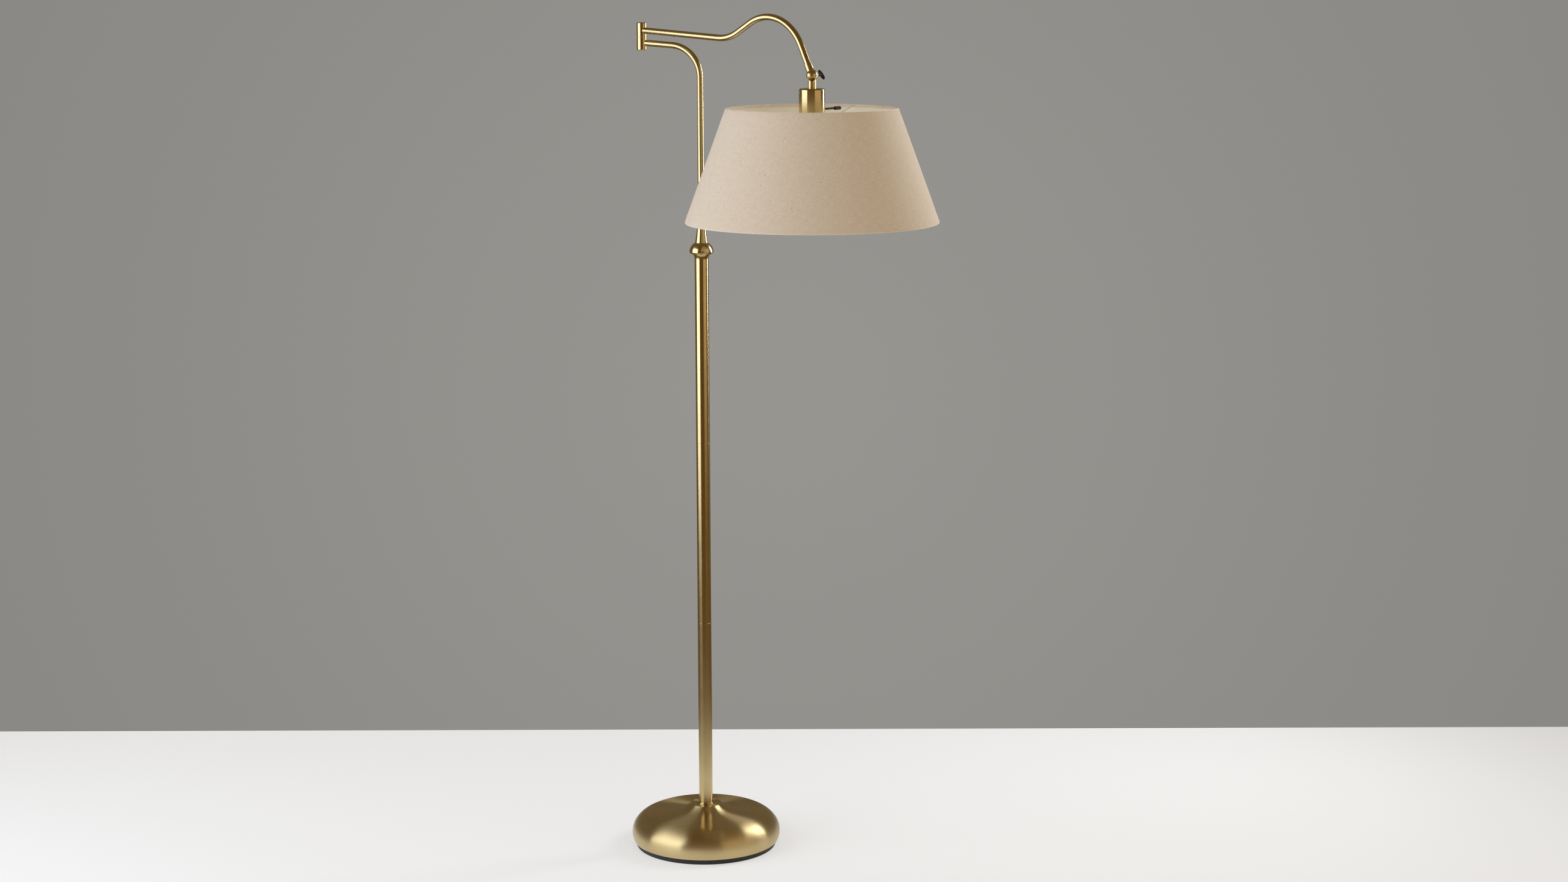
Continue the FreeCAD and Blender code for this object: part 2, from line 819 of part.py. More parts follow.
upper = new_body("upper_knuckle", upright_at_pivot(along_arm))
revolve(
    upper,
    "upper_knuckle_blank",
    [
        (running_bore, seam + half_washer),
        (knuckle_radius, seam + half_washer),
        (knuckle_radius, cap_seat),
        (cavity_radius, cap_seat),
        (cavity_radius, bearing_top),
        (running_bore, bearing_top),
    ],
)
arm_slope = size("arm_slope")
side_hole(upper, "arm_seat", arm_height, arm_slope, cavity_radius / 2, tube_radius)
turned(
    "knuckle_cap",
    [
        (as_size(0), cap_seat - size("cap_spigot")),
        (cavity_radius, cap_seat - size("cap_spigot")),
        (cavity_radius, cap_seat),
        (knuckle_radius, cap_seat),
        (knuckle_radius, knuckle_top - knuckle_fillet),
        (knuckle_radius - knuckle_fillet, knuckle_top, knuckle_fillet, OUTWARD),
        (as_size(0), knuckle_top),
    ],
    at_pivot,
)

# ---------------------------------------------------------------- arm

# The arm's path, in its own plane: X along its first straight run, Z square to it.
rise = size("arm_rise_angle")
drop = size("arm_drop_angle")
fall = drop - rise
bend = size("arm_bend")
middle_run = size("arm_middle_run")
last_run = size("arm_last_run")
rise_end = (size("arm_first_run") + bend * sine(rise), bend * (as_size(1) - cosine(rise)))
drop_start = (rise_end[0] + middle_run * cosine(rise), rise_end[1] + middle_run * sine(rise))
drop_end = (
    drop_start[0] + bend * (sine(rise) + sine(fall)),
    drop_start[1] + bend * (cosine(fall) - cosine(rise)),
)


def last_run_point(run):
    return (drop_end[0] + run * cosine(fall), drop_end[1] - run * sine(fall))


tube_end_gap = size("ferrule_reach") - size("ferrule_socket")
arm_path = [
    (arm_seat_radius, as_size(0)),
    (size("arm_first_run"), as_size(0)),
    rise_end + (bend, OUTWARD),
    drop_start,
    drop_end + (bend, INWARD),
    last_run_point(last_run - tube_end_gap),
]
arm_facing = along_arm * cosine(arm_slope).value - FLAT_Z * sine(arm_slope).value
arm_origin = pivot_place + FLAT_Z * arm_height.value
arm_placement = FreeCAD.Placement(
    arm_origin,
    FreeCAD.Rotation(arm_facing, across_arm, FreeCAD.Vector(), "XYZ"),
)
bent_tube(
    "arm_tube",
    tube_radius,
    size("tube_wall"),
    arm_path,
    "YZ_Plane",
    FreeCAD.Placement(FreeCAD.Vector(0, 0, arm_seat_radius.value), FreeCAD.Rotation()),
    arm_placement,
)

# ---------------------------------------------------------------- swivel ball

ball_point = last_run_point(last_run)
ball_place = arm_placement.multVec(FreeCAD.Vector(ball_point[0].value, 0, ball_point[1].value))
arm_heading = math.radians(fall.value + arm_slope.value)
towards_arm = along_arm * -math.cos(arm_heading) + FLAT_Z * math.sin(arm_heading)
DOWN = FreeCAD.Vector(0, 0, -1)


ball_radius = size("ball_radius")
ball_gap = size("ball_gap")
ball_flat = ball_radius - size("ball_flat_depth")
neck_radius = tube_radius + size("swivel_neck_wall")


def swivel_half(name, neck_direction, side, outline, neck_end, bore, bore_depth):
    """Half of the swivel ball, split square to the thumbscrew, with its round neck.

    The body's own Z axis leaves the split face, and its X axis runs along the neck.
    """
    body = new_body(name, pointing(ball_place, across_arm * side, neck_direction))
    revolve(body, name + "_ball", outline)
    # The neck is round past the ball, and half round beside the other half's ball.
    clear_start = ball_radius + size("neck_running_gap")
    sketch = new_sketch(body, name + "_neck_outline", "YZ_Plane")
    bind(sketch, "AttachmentOffset.Base.z", clear_start)
    draw_circle(sketch, 0, 0, neck_radius)
    neck = body.newObject("PartDesign::Pad", name + "_neck")
    neck.Profile = sketch
    bind(neck, "Length", neck_end - clear_start)
    root_start = root(ball_radius * ball_radius - neck_radius * neck_radius)
    root_start = root_start - size("neck_running_gap")
    sketch = new_sketch(body, name + "_root_outline", "YZ_Plane")
    bind(sketch, "AttachmentOffset.Base.z", root_start)
    chord = root(neck_radius * neck_radius - ball_gap * ball_gap)
    draw_outline(sketch, [(-chord, ball_gap, neck_radius, OUTWARD), (chord, ball_gap)])
    rooting = body.newObject("PartDesign::Pad", name + "_root")
    rooting.Profile = sketch
    bind(rooting, "Length", clear_start - root_start)
    mouth = FreeCAD.Vector(neck_end.value - bore_depth.value, 0, 0)
    drill(body, name + "_socket", outward_from(mouth), bore, bore_depth + clearance)
    drill(body, name + "_wire_hole", outward_from(FreeCAD.Vector()), size("wire_hole"), neck_end)
    return body


screw_radius = size("screw_radius")
screw_depth = ball_radius - size("screw_cover")
screw_bore = screw_radius + clearance
split_radius = root(ball_radius * ball_radius - ball_gap * ball_gap)
swivel_half(
    "arm_swivel_half",
    towards_arm,
    -1,
    [
        (screw_bore, ball_gap),
        (split_radius, ball_gap),
        (as_size(0), ball_radius, ball_radius, OUTWARD),
        (as_size(0), screw_depth + clearance),
        (screw_bore, screw_depth + clearance),
    ],
    size("ferrule_reach"),
    tube_radius,
    size("ferrule_socket"),
)
swivel_half(
    "head_swivel_half",
    DOWN,
    1,
    [
        (screw_bore, ball_gap),
        (split_radius, ball_gap),
        (root(ball_radius * ball_radius - ball_flat * ball_flat), ball_flat, ball_radius, OUTWARD),
        (screw_bore, ball_flat),
    ],
    size("cup_top_drop"),
    nipple_radius,
    size("cup_nipple_above"),
)

# ---------------------------------------------------------------- thumbscrew

key_lift = math.radians(size("key_turn").value)
key_long_axis = FLAT_Z * math.cos(key_lift) - along_arm * math.sin(key_lift)
screw_frame = pointing(ball_place, across_arm, key_long_axis)
washer_face = ball_flat + size("thumb_washer_thickness")
boss_start = washer_face + clearance
screw_end = boss_start + screw_radius
ring("thumb_washer", screw_bore, size("thumb_washer_radius"), ball_flat, washer_face, screw_frame)
ring("thumb_screw", as_size(0), screw_radius, -screw_depth, screw_end, screw_frame)

key = new_body("thumb_key", screw_frame)
revolve(
    key,
    "thumb_key_boss",
    [
        (screw_radius, boss_start),
        (size("thumb_boss_radius"), boss_start),
        (size("thumb_boss_radius"), size("thumb_boss_end")),
        (as_size(0), size("thumb_boss_end")),
        (as_size(0), screw_end),
        (screw_radius, screw_end),
    ],
)
span = size("key_half_span")
key_centre = size("thumb_boss_end") + size("key_beyond_boss")
near_side = key_centre - size("key_half_tip")
far_side = key_centre + size("key_half_tip")
corners = [(-span, near_side), (span, near_side), (span, far_side), (-span, far_side)]
side_bend = crowned(corners[0], corners[1], size("key_side_crown"))
end_bend = crowned(corners[1], corners[2], size("key_end_crown"))
paddle_sketch = new_sketch(key, "paddle_outline", "XZ_Plane")
bind(paddle_sketch, "AttachmentOffset.Base.z", -size("key_thickness") / 2)
draw_outline(
    paddle_sketch,
    [
        corners[0] + (end_bend, OUTWARD),
        corners[1] + (side_bend, OUTWARD),
        corners[2] + (end_bend, OUTWARD),
        corners[3] + (side_bend, OUTWARD),
    ],
)
paddle = key.newObject("PartDesign::Pad", "paddle")
paddle.Profile = paddle_sketch
bind(paddle, "Length", size("key_thickness"))

# ---------------------------------------------------------------- socket cup

def below_ball(drop):
    """A height in the head's own frame, which hangs straight down from the ball."""
    return -drop


head_place = FreeCAD.Placement(ball_place, FreeCAD.Rotation())
switch_turn = FreeCAD.Rotation(across_arm, FreeCAD.Vector(), FLAT_Z, "ZXY")
switch_facing = FreeCAD.Placement(ball_place, switch_turn)
cup_radius = size("socket_cup_radius")
cup_wall = size("socket_cup_wall")
cup_fillet = size("socket_cup_fillet")
cup_top_level = below_ball(size("cup_top_drop"))
cup_ceiling = cup_top_level - cup_wall
cup_bottom = cup_top_level - size("socket_cup_height")
switch_level = cup_top_level - size("switch_drop")


def cross_hole(body, name, start, radius, reach):
    """Cuts a round hole at the switch's height, out along the body's X axis."""
    mouth = FreeCAD.Vector(start.value, 0, switch_level.value)
    drill(body, name, outward_from(mouth), radius, reach - start)


cup = new_body("socket_cup", switch_facing)
revolve(
    cup,
    "socket_cup_blank",
    [
        (nipple_radius, cup_top_level),
        (nipple_radius, cup_ceiling),
        (cup_radius - cup_fillet, cup_ceiling),
        (cup_radius - cup_wall, cup_top_level - cup_fillet, cup_fillet - cup_wall, INWARD),
        (cup_radius - cup_wall, cup_bottom),
        (cup_radius, cup_bottom),
        (cup_radius, cup_top_level - cup_fillet),
        (cup_radius - cup_fillet, cup_top_level, cup_fillet, OUTWARD),
    ],
)
cross_hole(cup, "switch_hole", size("socket_radius"), size("switch_hole"), cup_radius + cup_wall)

nipple_bottom = cup_top_level - size("cup_nipple_below")
ring(
    "cup_nipple",
    size("nipple_bore"),
    nipple_radius,
    nipple_bottom,
    cup_top_level + size("cup_nipple_above"),
    head_place,
)
cup_nut_bottom = cup_ceiling - size("nut_height")
hexagon("cup_nut", size("nut_flats"), nipple_radius, cup_nut_bottom, cup_ceiling, head_place)

socket_top = cup_top_level - size("socket_top_drop")
socket_bottom_level = cup_top_level - size("socket_bottom_drop")
cavity_top = socket_bottom_level + size("shell_cavity_depth")
screw_shell_radius = size("screw_shell_radius")
shell_cavity_radius = screw_shell_radius + clearance
thread_radius = size("socket_radius") + size("socket_thread_height")
socket = new_body("socket_body", switch_facing)
revolve(
    socket,
    "socket_body_blank",
    [
        (shell_cavity_radius, socket_bottom_level),
        (thread_radius, socket_bottom_level),
        (thread_radius, cup_bottom),
        (size("socket_radius"), cup_bottom),
        (size("socket_radius"), socket_top),
        (nipple_radius, socket_top),
        (nipple_radius, nipple_bottom),
        (as_size(0), nipple_bottom),
        (as_size(0), cavity_top),
        (shell_cavity_radius, cavity_top),
    ],
)
cross_hole(
    socket,
    "switch_bearing",
    size("switch_start") - clearance,
    size("switch_radius") + clearance,
    size("socket_radius") + cup_wall,
)
contact_bottom = cavity_top - size("contact_thickness")
ring("centre_contact", as_size(0), size("contact_radius"), contact_bottom, cavity_top, head_place)
screw_shell_bore = screw_shell_radius - size("screw_shell_wall")
ring(
    "screw_shell",
    screw_shell_bore,
    screw_shell_radius,
    contact_bottom - size("screw_shell_length"),
    contact_bottom,
    head_place,
)
fitter_bottom = cup_bottom - size("fitter_thickness")
ring(
    "shade_ring_nut",
    thread_radius,
    thread_radius + size("ring_nut_wall"),
    fitter_bottom - size("ring_nut_height"),
    fitter_bottom,
    head_place,
)

# ---------------------------------------------------------------- rotary switch

switch_frame = pointing(ball_place + FLAT_Z * switch_level.value, across_arm)
grip_end = size("knob_start") + size("knob_grip")
ring("switch_stem", as_size(0), size("switch_radius"), size("switch_start"), grip_end, switch_frame)
turned(
    "switch_knob",
    [
        (size("switch_radius"), size("knob_start")),
        (size("knob_radius"), size("knob_start")),
        (size("knob_radius"), size("switch_reach") - size("knob_radius")),
        (as_size(0), size("switch_reach"), size("knob_radius"), OUTWARD),
        (as_size(0), grip_end),
        (size("switch_radius"), grip_end),
    ],
    switch_frame,
)

# ---------------------------------------------------------------- bulb

bulb_cap_top = contact_bottom - clearance
bulb_neck_level = bulb_cap_top - size("bulb_cap_length")
bulb_cap_radius = screw_shell_bore - size("bulb_cap_gap")
bulb_neck_radius = bulb_cap_radius - size("bulb_neck_step")
turned(
    "bulb_cap",
    [
        (as_size(0), bulb_neck_level),
        (bulb_cap_radius, bulb_neck_level),
        (bulb_cap_radius, bulb_cap_top - size("bulb_cap_tip")),
        (size("bulb_cap_tip"), bulb_cap_top),
        (as_size(0), bulb_cap_top),
    ],
    head_place,
)
glass_wall = size("glass_wall")
bulb_centre = bulb_neck_level - size("bulb_centre_drop")
turn_angle = size("bulb_turn_angle")


def bulb_corners(inset):
    """The bulb's outline from its neck to its lowest point, moved in by inset."""
    radius = size("bulb_radius") - inset
    return [
        (bulb_neck_radius - inset, bulb_neck_level),
        (bulb_neck_radius - inset, bulb_neck_level - size("bulb_neck_drop")),
        (
            radius * cosine(turn_angle),
            bulb_centre + radius * sine(turn_angle),
            size("bulb_neck_bend") + inset,
            OUTWARD,
        ),
        (as_size(0), bulb_centre - radius, radius, INWARD),
    ]


turned(
    "bulb_glass",
    bulb_corners(as_size(0)) + reversed_outline(bulb_corners(glass_wall)),
    head_place,
)

# ---------------------------------------------------------------- shade

shade_top = below_ball(size("shade_top_drop"))
flare = size("shade_bottom_radius") - size("shade_top_radius")
slant = length(flare, size("shade_height"))
slant_sine = flare / slant
slant_cosine = size("shade_height") / slant
fabric_thickness = size("fabric_thickness")
lining_face = fabric_thickness + size("lining_thickness")
hem_thickness = size("hem_thickness")
wire_radius = size("wire_radius")


def on_shade(down, out):
    """A point down the shade's slant from its top edge, and out from the fabric's face."""
    return (
        size("shade_top_radius") + down * slant_sine + out * slant_cosine,
        shade_top - down * slant_cosine + out * slant_sine,
    )


def shade_band(name, start, end, inner, outer):
    return turned(
        name,
        [on_shade(start, inner), on_shade(end, inner), on_shade(end, outer), on_shade(start, outer)],
        head_place,
    )


shade_band("shade_fabric", as_size(0), slant, -fabric_thickness, as_size(0))
shade_band("shade_lining", as_size(0), slant, -lining_face, -fabric_thickness)

wire_depth = -lining_face - wire_radius
wire_back = wire_depth - wire_radius
hem_back = wire_back - hem_thickness
hem_height = size("hem_height")


def hem(name, edge, away, back):
    """The fabric folded round the shade's edge and its wire, as one U-shaped band."""
    fold = edge - away * hem_thickness
    rim = edge + away * hem_height
    return turned(
        name,
        [
            on_shade(rim, as_size(0)),
            on_shade(edge, as_size(0)),
            on_shade(edge, back + hem_thickness),
            on_shade(rim, back + hem_thickness),
            on_shade(rim, back),
            on_shade(fold, back),
            on_shade(fold, hem_thickness),
            on_shade(rim, hem_thickness),
        ],
        head_place,
    )


top_hem = hem("top_hem", as_size(0), as_size(1), hem_back)
hem("bottom_hem", slant, as_size(-1), hem_back)


def wire_ring(name, centre):
    """A round wire bent into a ring of the given centre radius and height."""
    body = new_body(name, head_place)
    sketch = new_sketch(body, name + "_outline", "XZ_Plane")
    draw_circle(sketch, centre[0], centre[1], wire_radius)
    feature = body.newObject("PartDesign::Revolution", name)
    feature.Profile = sketch
    feature.ReferenceAxis = (sketch, ["V_Axis"])
    feature.Angle = 360
    return body


top_wire = on_shade(wire_radius, wire_depth)
top_ring = wire_ring("top_ring", top_wire)
wire_ring("bottom_ring", on_shade(slant - wire_radius, wire_depth))

# The fitter is a washer with its rim turned down over the ring nut.
rim_radius = size("fitter_rim_radius")
rim_inner = rim_radius - size("fitter_thickness")
rim_bottom = cup_bottom - size("fitter_rim_depth")
fitter_hole = thread_radius + size("fitter_hole_gap")
shade_fitter = turned(
    "shade_fitter",
    [
        (fitter_hole, fitter_bottom),
        (rim_inner, fitter_bottom),
        (rim_inner, rim_bottom),
        (rim_radius, rim_bottom),
        (rim_radius, cup_bottom),
        (fitter_hole, cup_bottom),
    ],
    head_place,
)

# Straight spokes rise from the middle of the rim to the top ring's wire. Each end is coped to
# the metal that it is welded to, and the top hem is slit round each spoke.
hub = (rim_radius - size("fitter_thickness") / 2, cup_bottom - size("fitter_rim_depth") / 2)
spoke_run = top_wire[0] - hub[0]
spoke_rise = top_wire[1] - hub[1]
spoke_length = length(spoke_run, spoke_rise)
spoke_slope = math.atan2(spoke_rise.value, spoke_run.value)
count = int(size("spoke_count").value)
for index in range(count):
    name = f"spoke_{index + 1}"
    turn = math.radians(size("spoke_turn").value + index * 360 / count)
    outwards = FreeCAD.Vector(math.cos(turn), math.sin(turn), 0)
    direction = outwards * math.cos(spoke_slope) + FLAT_Z * math.sin(spoke_slope)
    spoke_place = pointing(outwards * hub[0].value + FLAT_Z * hub[1].value, direction)
    drill(top_hem, name + "_slit", spoke_place, size("spoke_radius") + clearance, spoke_length)
    blank = document.addObject("Part::Cylinder", name + "_blank")
    bind(blank, "Radius", size("spoke_radius"))
    bind(blank, "Height", spoke_length)
    blank.Placement = head_place * spoke_place
    hub_cope = document.addObject("Part::Cut", name + "_hub_cope")
    hub_cope.Base = blank
    hub_cope.Tool = shade_fitter
    spoke = document.addObject("Part::Cut", name + "_piece")
    spoke.Label = name
    spoke.Base = hub_cope
    spoke.Tool = top_ring
    nodes.append(spoke)

# ---------------------------------------------------------------- write the pieces

document.recompute()
for item in document.Objects:
    if "Invalid" in item.State or "Error" in item.State:
        raise RuntimeError(f"{item.Label} did not rebuild: {item.State}")
for node in nodes:
    if node.Shape.isNull() or not node.Shape.isValid():
        raise RuntimeError(f"{node.Label} has no valid shape")

os.makedirs("parts", exist_ok=True)
for node in nodes:
    node.Shape.exportStep(f"parts/{node.Label}.step")
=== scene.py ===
import math
import bmesh
import bpy
from mathutils import Matrix, Vector, noise


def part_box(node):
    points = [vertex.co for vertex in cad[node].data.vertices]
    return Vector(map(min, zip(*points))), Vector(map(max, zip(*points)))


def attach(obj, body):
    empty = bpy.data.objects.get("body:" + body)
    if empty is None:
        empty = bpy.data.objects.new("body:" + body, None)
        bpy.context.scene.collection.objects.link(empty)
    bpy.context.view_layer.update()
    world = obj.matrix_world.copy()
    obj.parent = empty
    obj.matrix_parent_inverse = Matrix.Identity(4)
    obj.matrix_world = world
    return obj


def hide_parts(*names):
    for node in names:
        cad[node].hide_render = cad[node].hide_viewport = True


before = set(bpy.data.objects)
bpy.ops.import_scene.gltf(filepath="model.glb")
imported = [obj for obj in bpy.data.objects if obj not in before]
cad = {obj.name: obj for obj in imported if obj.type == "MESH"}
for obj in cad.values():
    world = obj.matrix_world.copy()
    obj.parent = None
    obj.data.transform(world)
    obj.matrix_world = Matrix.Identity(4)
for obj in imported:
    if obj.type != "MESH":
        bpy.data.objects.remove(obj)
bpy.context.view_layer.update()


# The studio: a white floor and a grey wall behind the lamp. A wide soft light on the left, two narrow
# ones at the right rear that draw the thin highlights, the higher on the pole and the lower on the base,
# and a weak warm one in front on the right.

def add_node(tree, kind, inputs=(), **settings):
    """Adds one shader node; inputs maps its sockets to plain values or to other nodes' outputs."""
    node = tree.nodes.new("ShaderNode" + kind)
    for name, value in settings.items():
        setattr(node, name, value)
    for socket, value in dict(inputs).items():
        if isinstance(value, bpy.types.NodeSocket):
            tree.links.new(value, node.inputs[socket])
        else:
            node.inputs[socket].default_value = value
    return node


def start_finish(name, **values):
    """A new material, its node tree and its shader, with the plain values set on the shader itself."""
    finish = bpy.data.materials.new(name)
    finish.use_nodes = True
    shader = finish.node_tree.nodes["Principled BSDF"]
    for socket, value in values.items():
        shader.inputs[socket.replace("_", " ")].default_value = value
    return finish, finish.node_tree, shader


def flat_card(name, corners, finish):
    """A single four-cornered face for the floor or the wall."""
    card = bmesh.new()
    card.faces.new([card.verts.new(corner) for corner in corners])
    mesh = bpy.data.meshes.new(name)
    card.to_mesh(mesh)
    card.free()
    mesh.materials.append(finish)
    piece = bpy.data.objects.new(name, mesh)
    bpy.context.scene.collection.objects.link(piece)
    return piece


def soft_lamp(name, place, towards, width, height, radiance, colour, lean=0.0):
    """A rectangular studio lamp, told how bright its face looks and how many degrees it leans over."""
    light = bpy.data.lights.new(name, "AREA")
    light.shape = "RECTANGLE"
    light.size = width
    light.size_y = height
    light.energy = radiance * math.pi * width * height
    light.color = colour
    lamp = bpy.data.objects.new(name, light)
    lamp.location = place
    facing = (Vector(towards) - Vector(place)).to_track_quat("-Z", "Y").to_matrix().to_4x4()
    lamp.rotation_euler = (facing @ Matrix.Rotation(math.radians(lean), 4, "Z")).to_euler()
    lamp.visible_camera = False
    bpy.context.scene.collection.objects.link(lamp)


def seen_directly(tree, share):
    """The share for what the camera, a reflection or a view through glass meets, 0 for light in the room."""
    path = add_node(tree, "LightPath")
    either = add_node(tree, "Math", {
        0: path.outputs["Is Camera Ray"],
        1: path.outputs["Is Glossy Ray"],
    }, operation="MAXIMUM")
    any_view = add_node(tree, "Math", {
        0: either.outputs[0],
        1: path.outputs["Is Transmission Ray"],
    }, operation="MAXIMUM")
    return add_node(tree, "Math", {0: any_view.outputs[0], 1: share}, operation="MULTIPLY")


def show_stage(tree, surface, glow, share):
    """Mixes a stage surface with a share of plain glow, and leaves nothing to see from behind it."""
    front = add_node(tree, "MixShader", {
        0: seen_directly(tree, share).outputs[0],
        1: surface.outputs[0],
        2: glow.outputs[0],
    })
    side = add_node(tree, "NewGeometry")
    clear = add_node(tree, "BsdfTransparent")
    either_side = add_node(tree, "MixShader", {
        0: side.outputs["Backfacing"],
        1: front.outputs[0],
        2: clear.outputs[0],
    })
    tree.links.new(either_side.outputs[0], tree.nodes["Material Output"].inputs["Surface"])


# White paper lies near the lamp only, so reflections further out show the dark of the room.
paper_fades_from = 0.3
paper_ends = 0.9
dark_room = (0.14, 0.085, 0.03, 1.0)
floor_white = (0.86, 0.865, 0.87, 1.0)
floor_finish, floor_tree, floor_shader = start_finish("studio_floor", Base_Color=floor_white, Roughness=0.9)
floor_spot = add_node(floor_tree, "TexCoord")
floor_away = add_node(floor_tree, "VectorMath", {0: floor_spot.outputs["Object"]}, operation="LENGTH")
floor_far = add_node(floor_tree, "MapRange", {
    "Value": floor_away.outputs["Value"],
    "From Min": paper_fades_from,
    "From Max": paper_ends,
})
floor_ray = add_node(floor_tree, "LightPath")
floor_dark = add_node(floor_tree, "Math", {
    0: floor_far.outputs[0],
    1: floor_ray.outputs["Is Glossy Ray"],
}, operation="MULTIPLY")
floor_look = add_node(floor_tree, "MixRGB", {
    "Fac": floor_dark.outputs[0],
    "Color1": (1.0, 1.0, 1.0, 1.0),
    "Color2": dark_room,
})
floor_share = add_node(floor_tree, "MapRange", {
    "Value": floor_dark.outputs[0],
    "To Min": 0.5,
    "To Max": 1.0,
})
floor_glow = add_node(floor_tree, "Emission", {"Color": floor_look.outputs[0], "Strength": 1.0})
show_stage(floor_tree, floor_shader, floor_glow, floor_share.outputs[0])
room_half = 9
floor_corners = [
    (-room_half, -room_half, 0),
    (room_half, -room_half, 0),
    (room_half, room_half, 0),
    (-room_half, room_half, 0),
]
floor = flat_card("studio_floor", floor_corners, floor_finish)

wall_y = 0.77
wall_height = 7
wall_grey = (0.290, 0.283, 0.266, 1.0)
wall_finish, wall_tree, wall_shader = start_finish("studio_wall", Base_Color=wall_grey, Roughness=0.95)
# The wall's glow is stronger round its middle and weaker further out: a painted pool of light on the
# backdrop.
wall_spot = add_node(wall_tree, "TexCoord")
wall_middle = add_node(wall_tree, "Mapping", {
    "Vector": wall_spot.outputs["Object"],
    "Location": (0.15, wall_y, 0.75),
    "Scale": (1.6, 1.0, 1.6),
}, vector_type="TEXTURE")
wall_away = add_node(wall_tree, "VectorMath", {0: wall_middle.outputs[0]}, operation="LENGTH")
wall_painted_light_pool = add_node(wall_tree, "MapRange", {
    "Value": wall_away.outputs["Value"],
    "From Min": 0.1,
    "From Max": 1.1,
    "To Min": 1.06,
    "To Max": 0.88,
})
wall_ray = add_node(wall_tree, "LightPath")
wall_look = add_node(wall_tree, "MixRGB", {
    "Fac": wall_ray.outputs["Is Glossy Ray"],
    "Color1": wall_grey,
    "Color2": (0.18, 0.14, 0.09, 1.0),
})
wall_glow = add_node(wall_tree, "Emission", {"Color": wall_look.outputs[0], "Strength": wall_painted_light_pool.outputs[0]})
show_stage(wall_tree, wall_shader, wall_glow, 1.0)
wall_corners = [
    (-room_half, wall_y, 0),
    (room_half, wall_y, 0),
    (room_half, wall_y, wall_height),
    (-room_half, wall_y, wall_height),
]
wall = flat_card("studio_wall", wall_corners, wall_finish)

soft_lamp(
    "left_window", (-1.74, -0.82, 1.30), (0.0, 0.0, 1.05),
    width=2.1, height=2.1, radiance=2.2, colour=(0.93, 1.0, 1.10),
)
soft_lamp(
    "right_strip", (1.42, 0.58, 1.62), (0.1, 0.0, 1.2),
    width=0.36, height=0.9, radiance=11.0, colour=(0.97, 1.0, 1.03),
)
soft_lamp(
    "right_key", (1.33, 0.62, 1.0), (0.0, 0.0, 0.05),
    width=0.13, height=0.6, radiance=12.0, colour=(0.98, 1.0, 1.02), lean=-22.4,
)
soft_lamp(
    "front_fill", (1.95, -1.45, 1.35), (0.1, 0.0, 0.9),
    width=2.4, height=2.0, radiance=0.52, colour=(1.0, 0.81, 0.58),
)

sky = bpy.data.worlds.new("studio_sky")
bpy.context.scene.world = sky
sky.use_nodes = True
sky_tree = sky.node_tree
sky_ray = add_node(sky_tree, "LightPath")
sky_mirrored = add_node(sky_tree, "MixRGB", {
    "Fac": sky_ray.outputs["Is Glossy Ray"],
    "Color1": (0.50, 0.435, 0.36, 1.0),
    "Color2": dark_room,
})
sky_colour = add_node(sky_tree, "MixRGB", {
    "Fac": sky_ray.outputs["Is Camera Ray"],
    "Color1": sky_mirrored.outputs[0],
    "Color2": wall_grey,
})
sky_tree.links.new(sky_colour.outputs[0], sky_tree.nodes["Background"].inputs["Color"])

camera = bpy.data.objects.new("camera", bpy.data.cameras.new("camera"))
camera.data.lens = 62.888
camera.data.sensor_width = 36.0
camera.data.sensor_fit = "HORIZONTAL"
camera_place = (0.149, -4.965, 1.644)
camera_pitch = math.radians(80.01)
camera_roll = math.radians(-0.17)
camera.matrix_world = (
    Matrix.Translation(camera_place)
    @ Matrix.Rotation(camera_pitch, 4, "X")
    @ Matrix.Rotation(camera_roll, 4, "Z")
)
bpy.context.scene.collection.objects.link(camera)
bpy.context.scene.camera = camera
bpy.context.scene.view_settings.view_transform = "Standard"


# The round base: a spun brass dish with a raised seat for the pole, turned, brushed on the lathe and
# lacquered, so its fine lines run round the pole and its broad tone is a little cloudy.

def start_group(name, inputs, outputs):
    """A shader node group with named sockets, and its two end nodes."""
    group = bpy.data.node_groups.new(name, "ShaderNodeTree")
    for label, kind, value in inputs:
        socket = group.interface.new_socket(label, in_out="INPUT", socket_type="NodeSocket" + kind)
        socket.default_value = value
    for label, kind in outputs:
        group.interface.new_socket(label, in_out="OUTPUT", socket_type="NodeSocket" + kind)
    return group, group.nodes.new("NodeGroupInput"), group.nodes.new("NodeGroupOutput")


def place_group(tree, group, inputs):
    """One use of a node group in a material."""
    node = tree.nodes.new("ShaderNodeGroup")
    node.node_tree = group
    for socket, value in inputs.items():
        if isinstance(value, bpy.types.NodeSocket):
            tree.links.new(value, node.inputs[socket])
        else:
            node.inputs[socket].default_value = value
    return node


def finish_nodes(finish, *names):
    """Puts a material in the only slot of each named CAD node."""
    for name in names:
        cad[name].material_slots[0].material = finish


# Lines left by a lathe follow the distance from the axis and the height along it, and fade round it.
lathe_lines, lathe_in, lathe_out = start_group(
    "lathe_lines",
    [("Position", "Vector", (0, 0, 0)), ("Pitch", "Float", 0.0005), ("Wander", "Float", 1.5)],
    [("Height", "Float"), ("Tone", "Float")],
)
lathe_parts = add_node(lathe_lines, "SeparateXYZ", {0: lathe_in.outputs["Position"]})
lathe_flat = add_node(lathe_lines, "CombineXYZ", {0: lathe_parts.outputs[0], 1: lathe_parts.outputs[1]})
lathe_radius = add_node(lathe_lines, "VectorMath", {0: lathe_flat.outputs[0]}, operation="LENGTH")
lathe_round = add_node(lathe_lines, "VectorMath", {0: lathe_flat.outputs[0]}, operation="NORMALIZE")
lathe_turn = add_node(lathe_lines, "VectorMath", {
    0: lathe_round.outputs[0],
    "Scale": lathe_in.outputs["Wander"],
}, operation="SCALE")
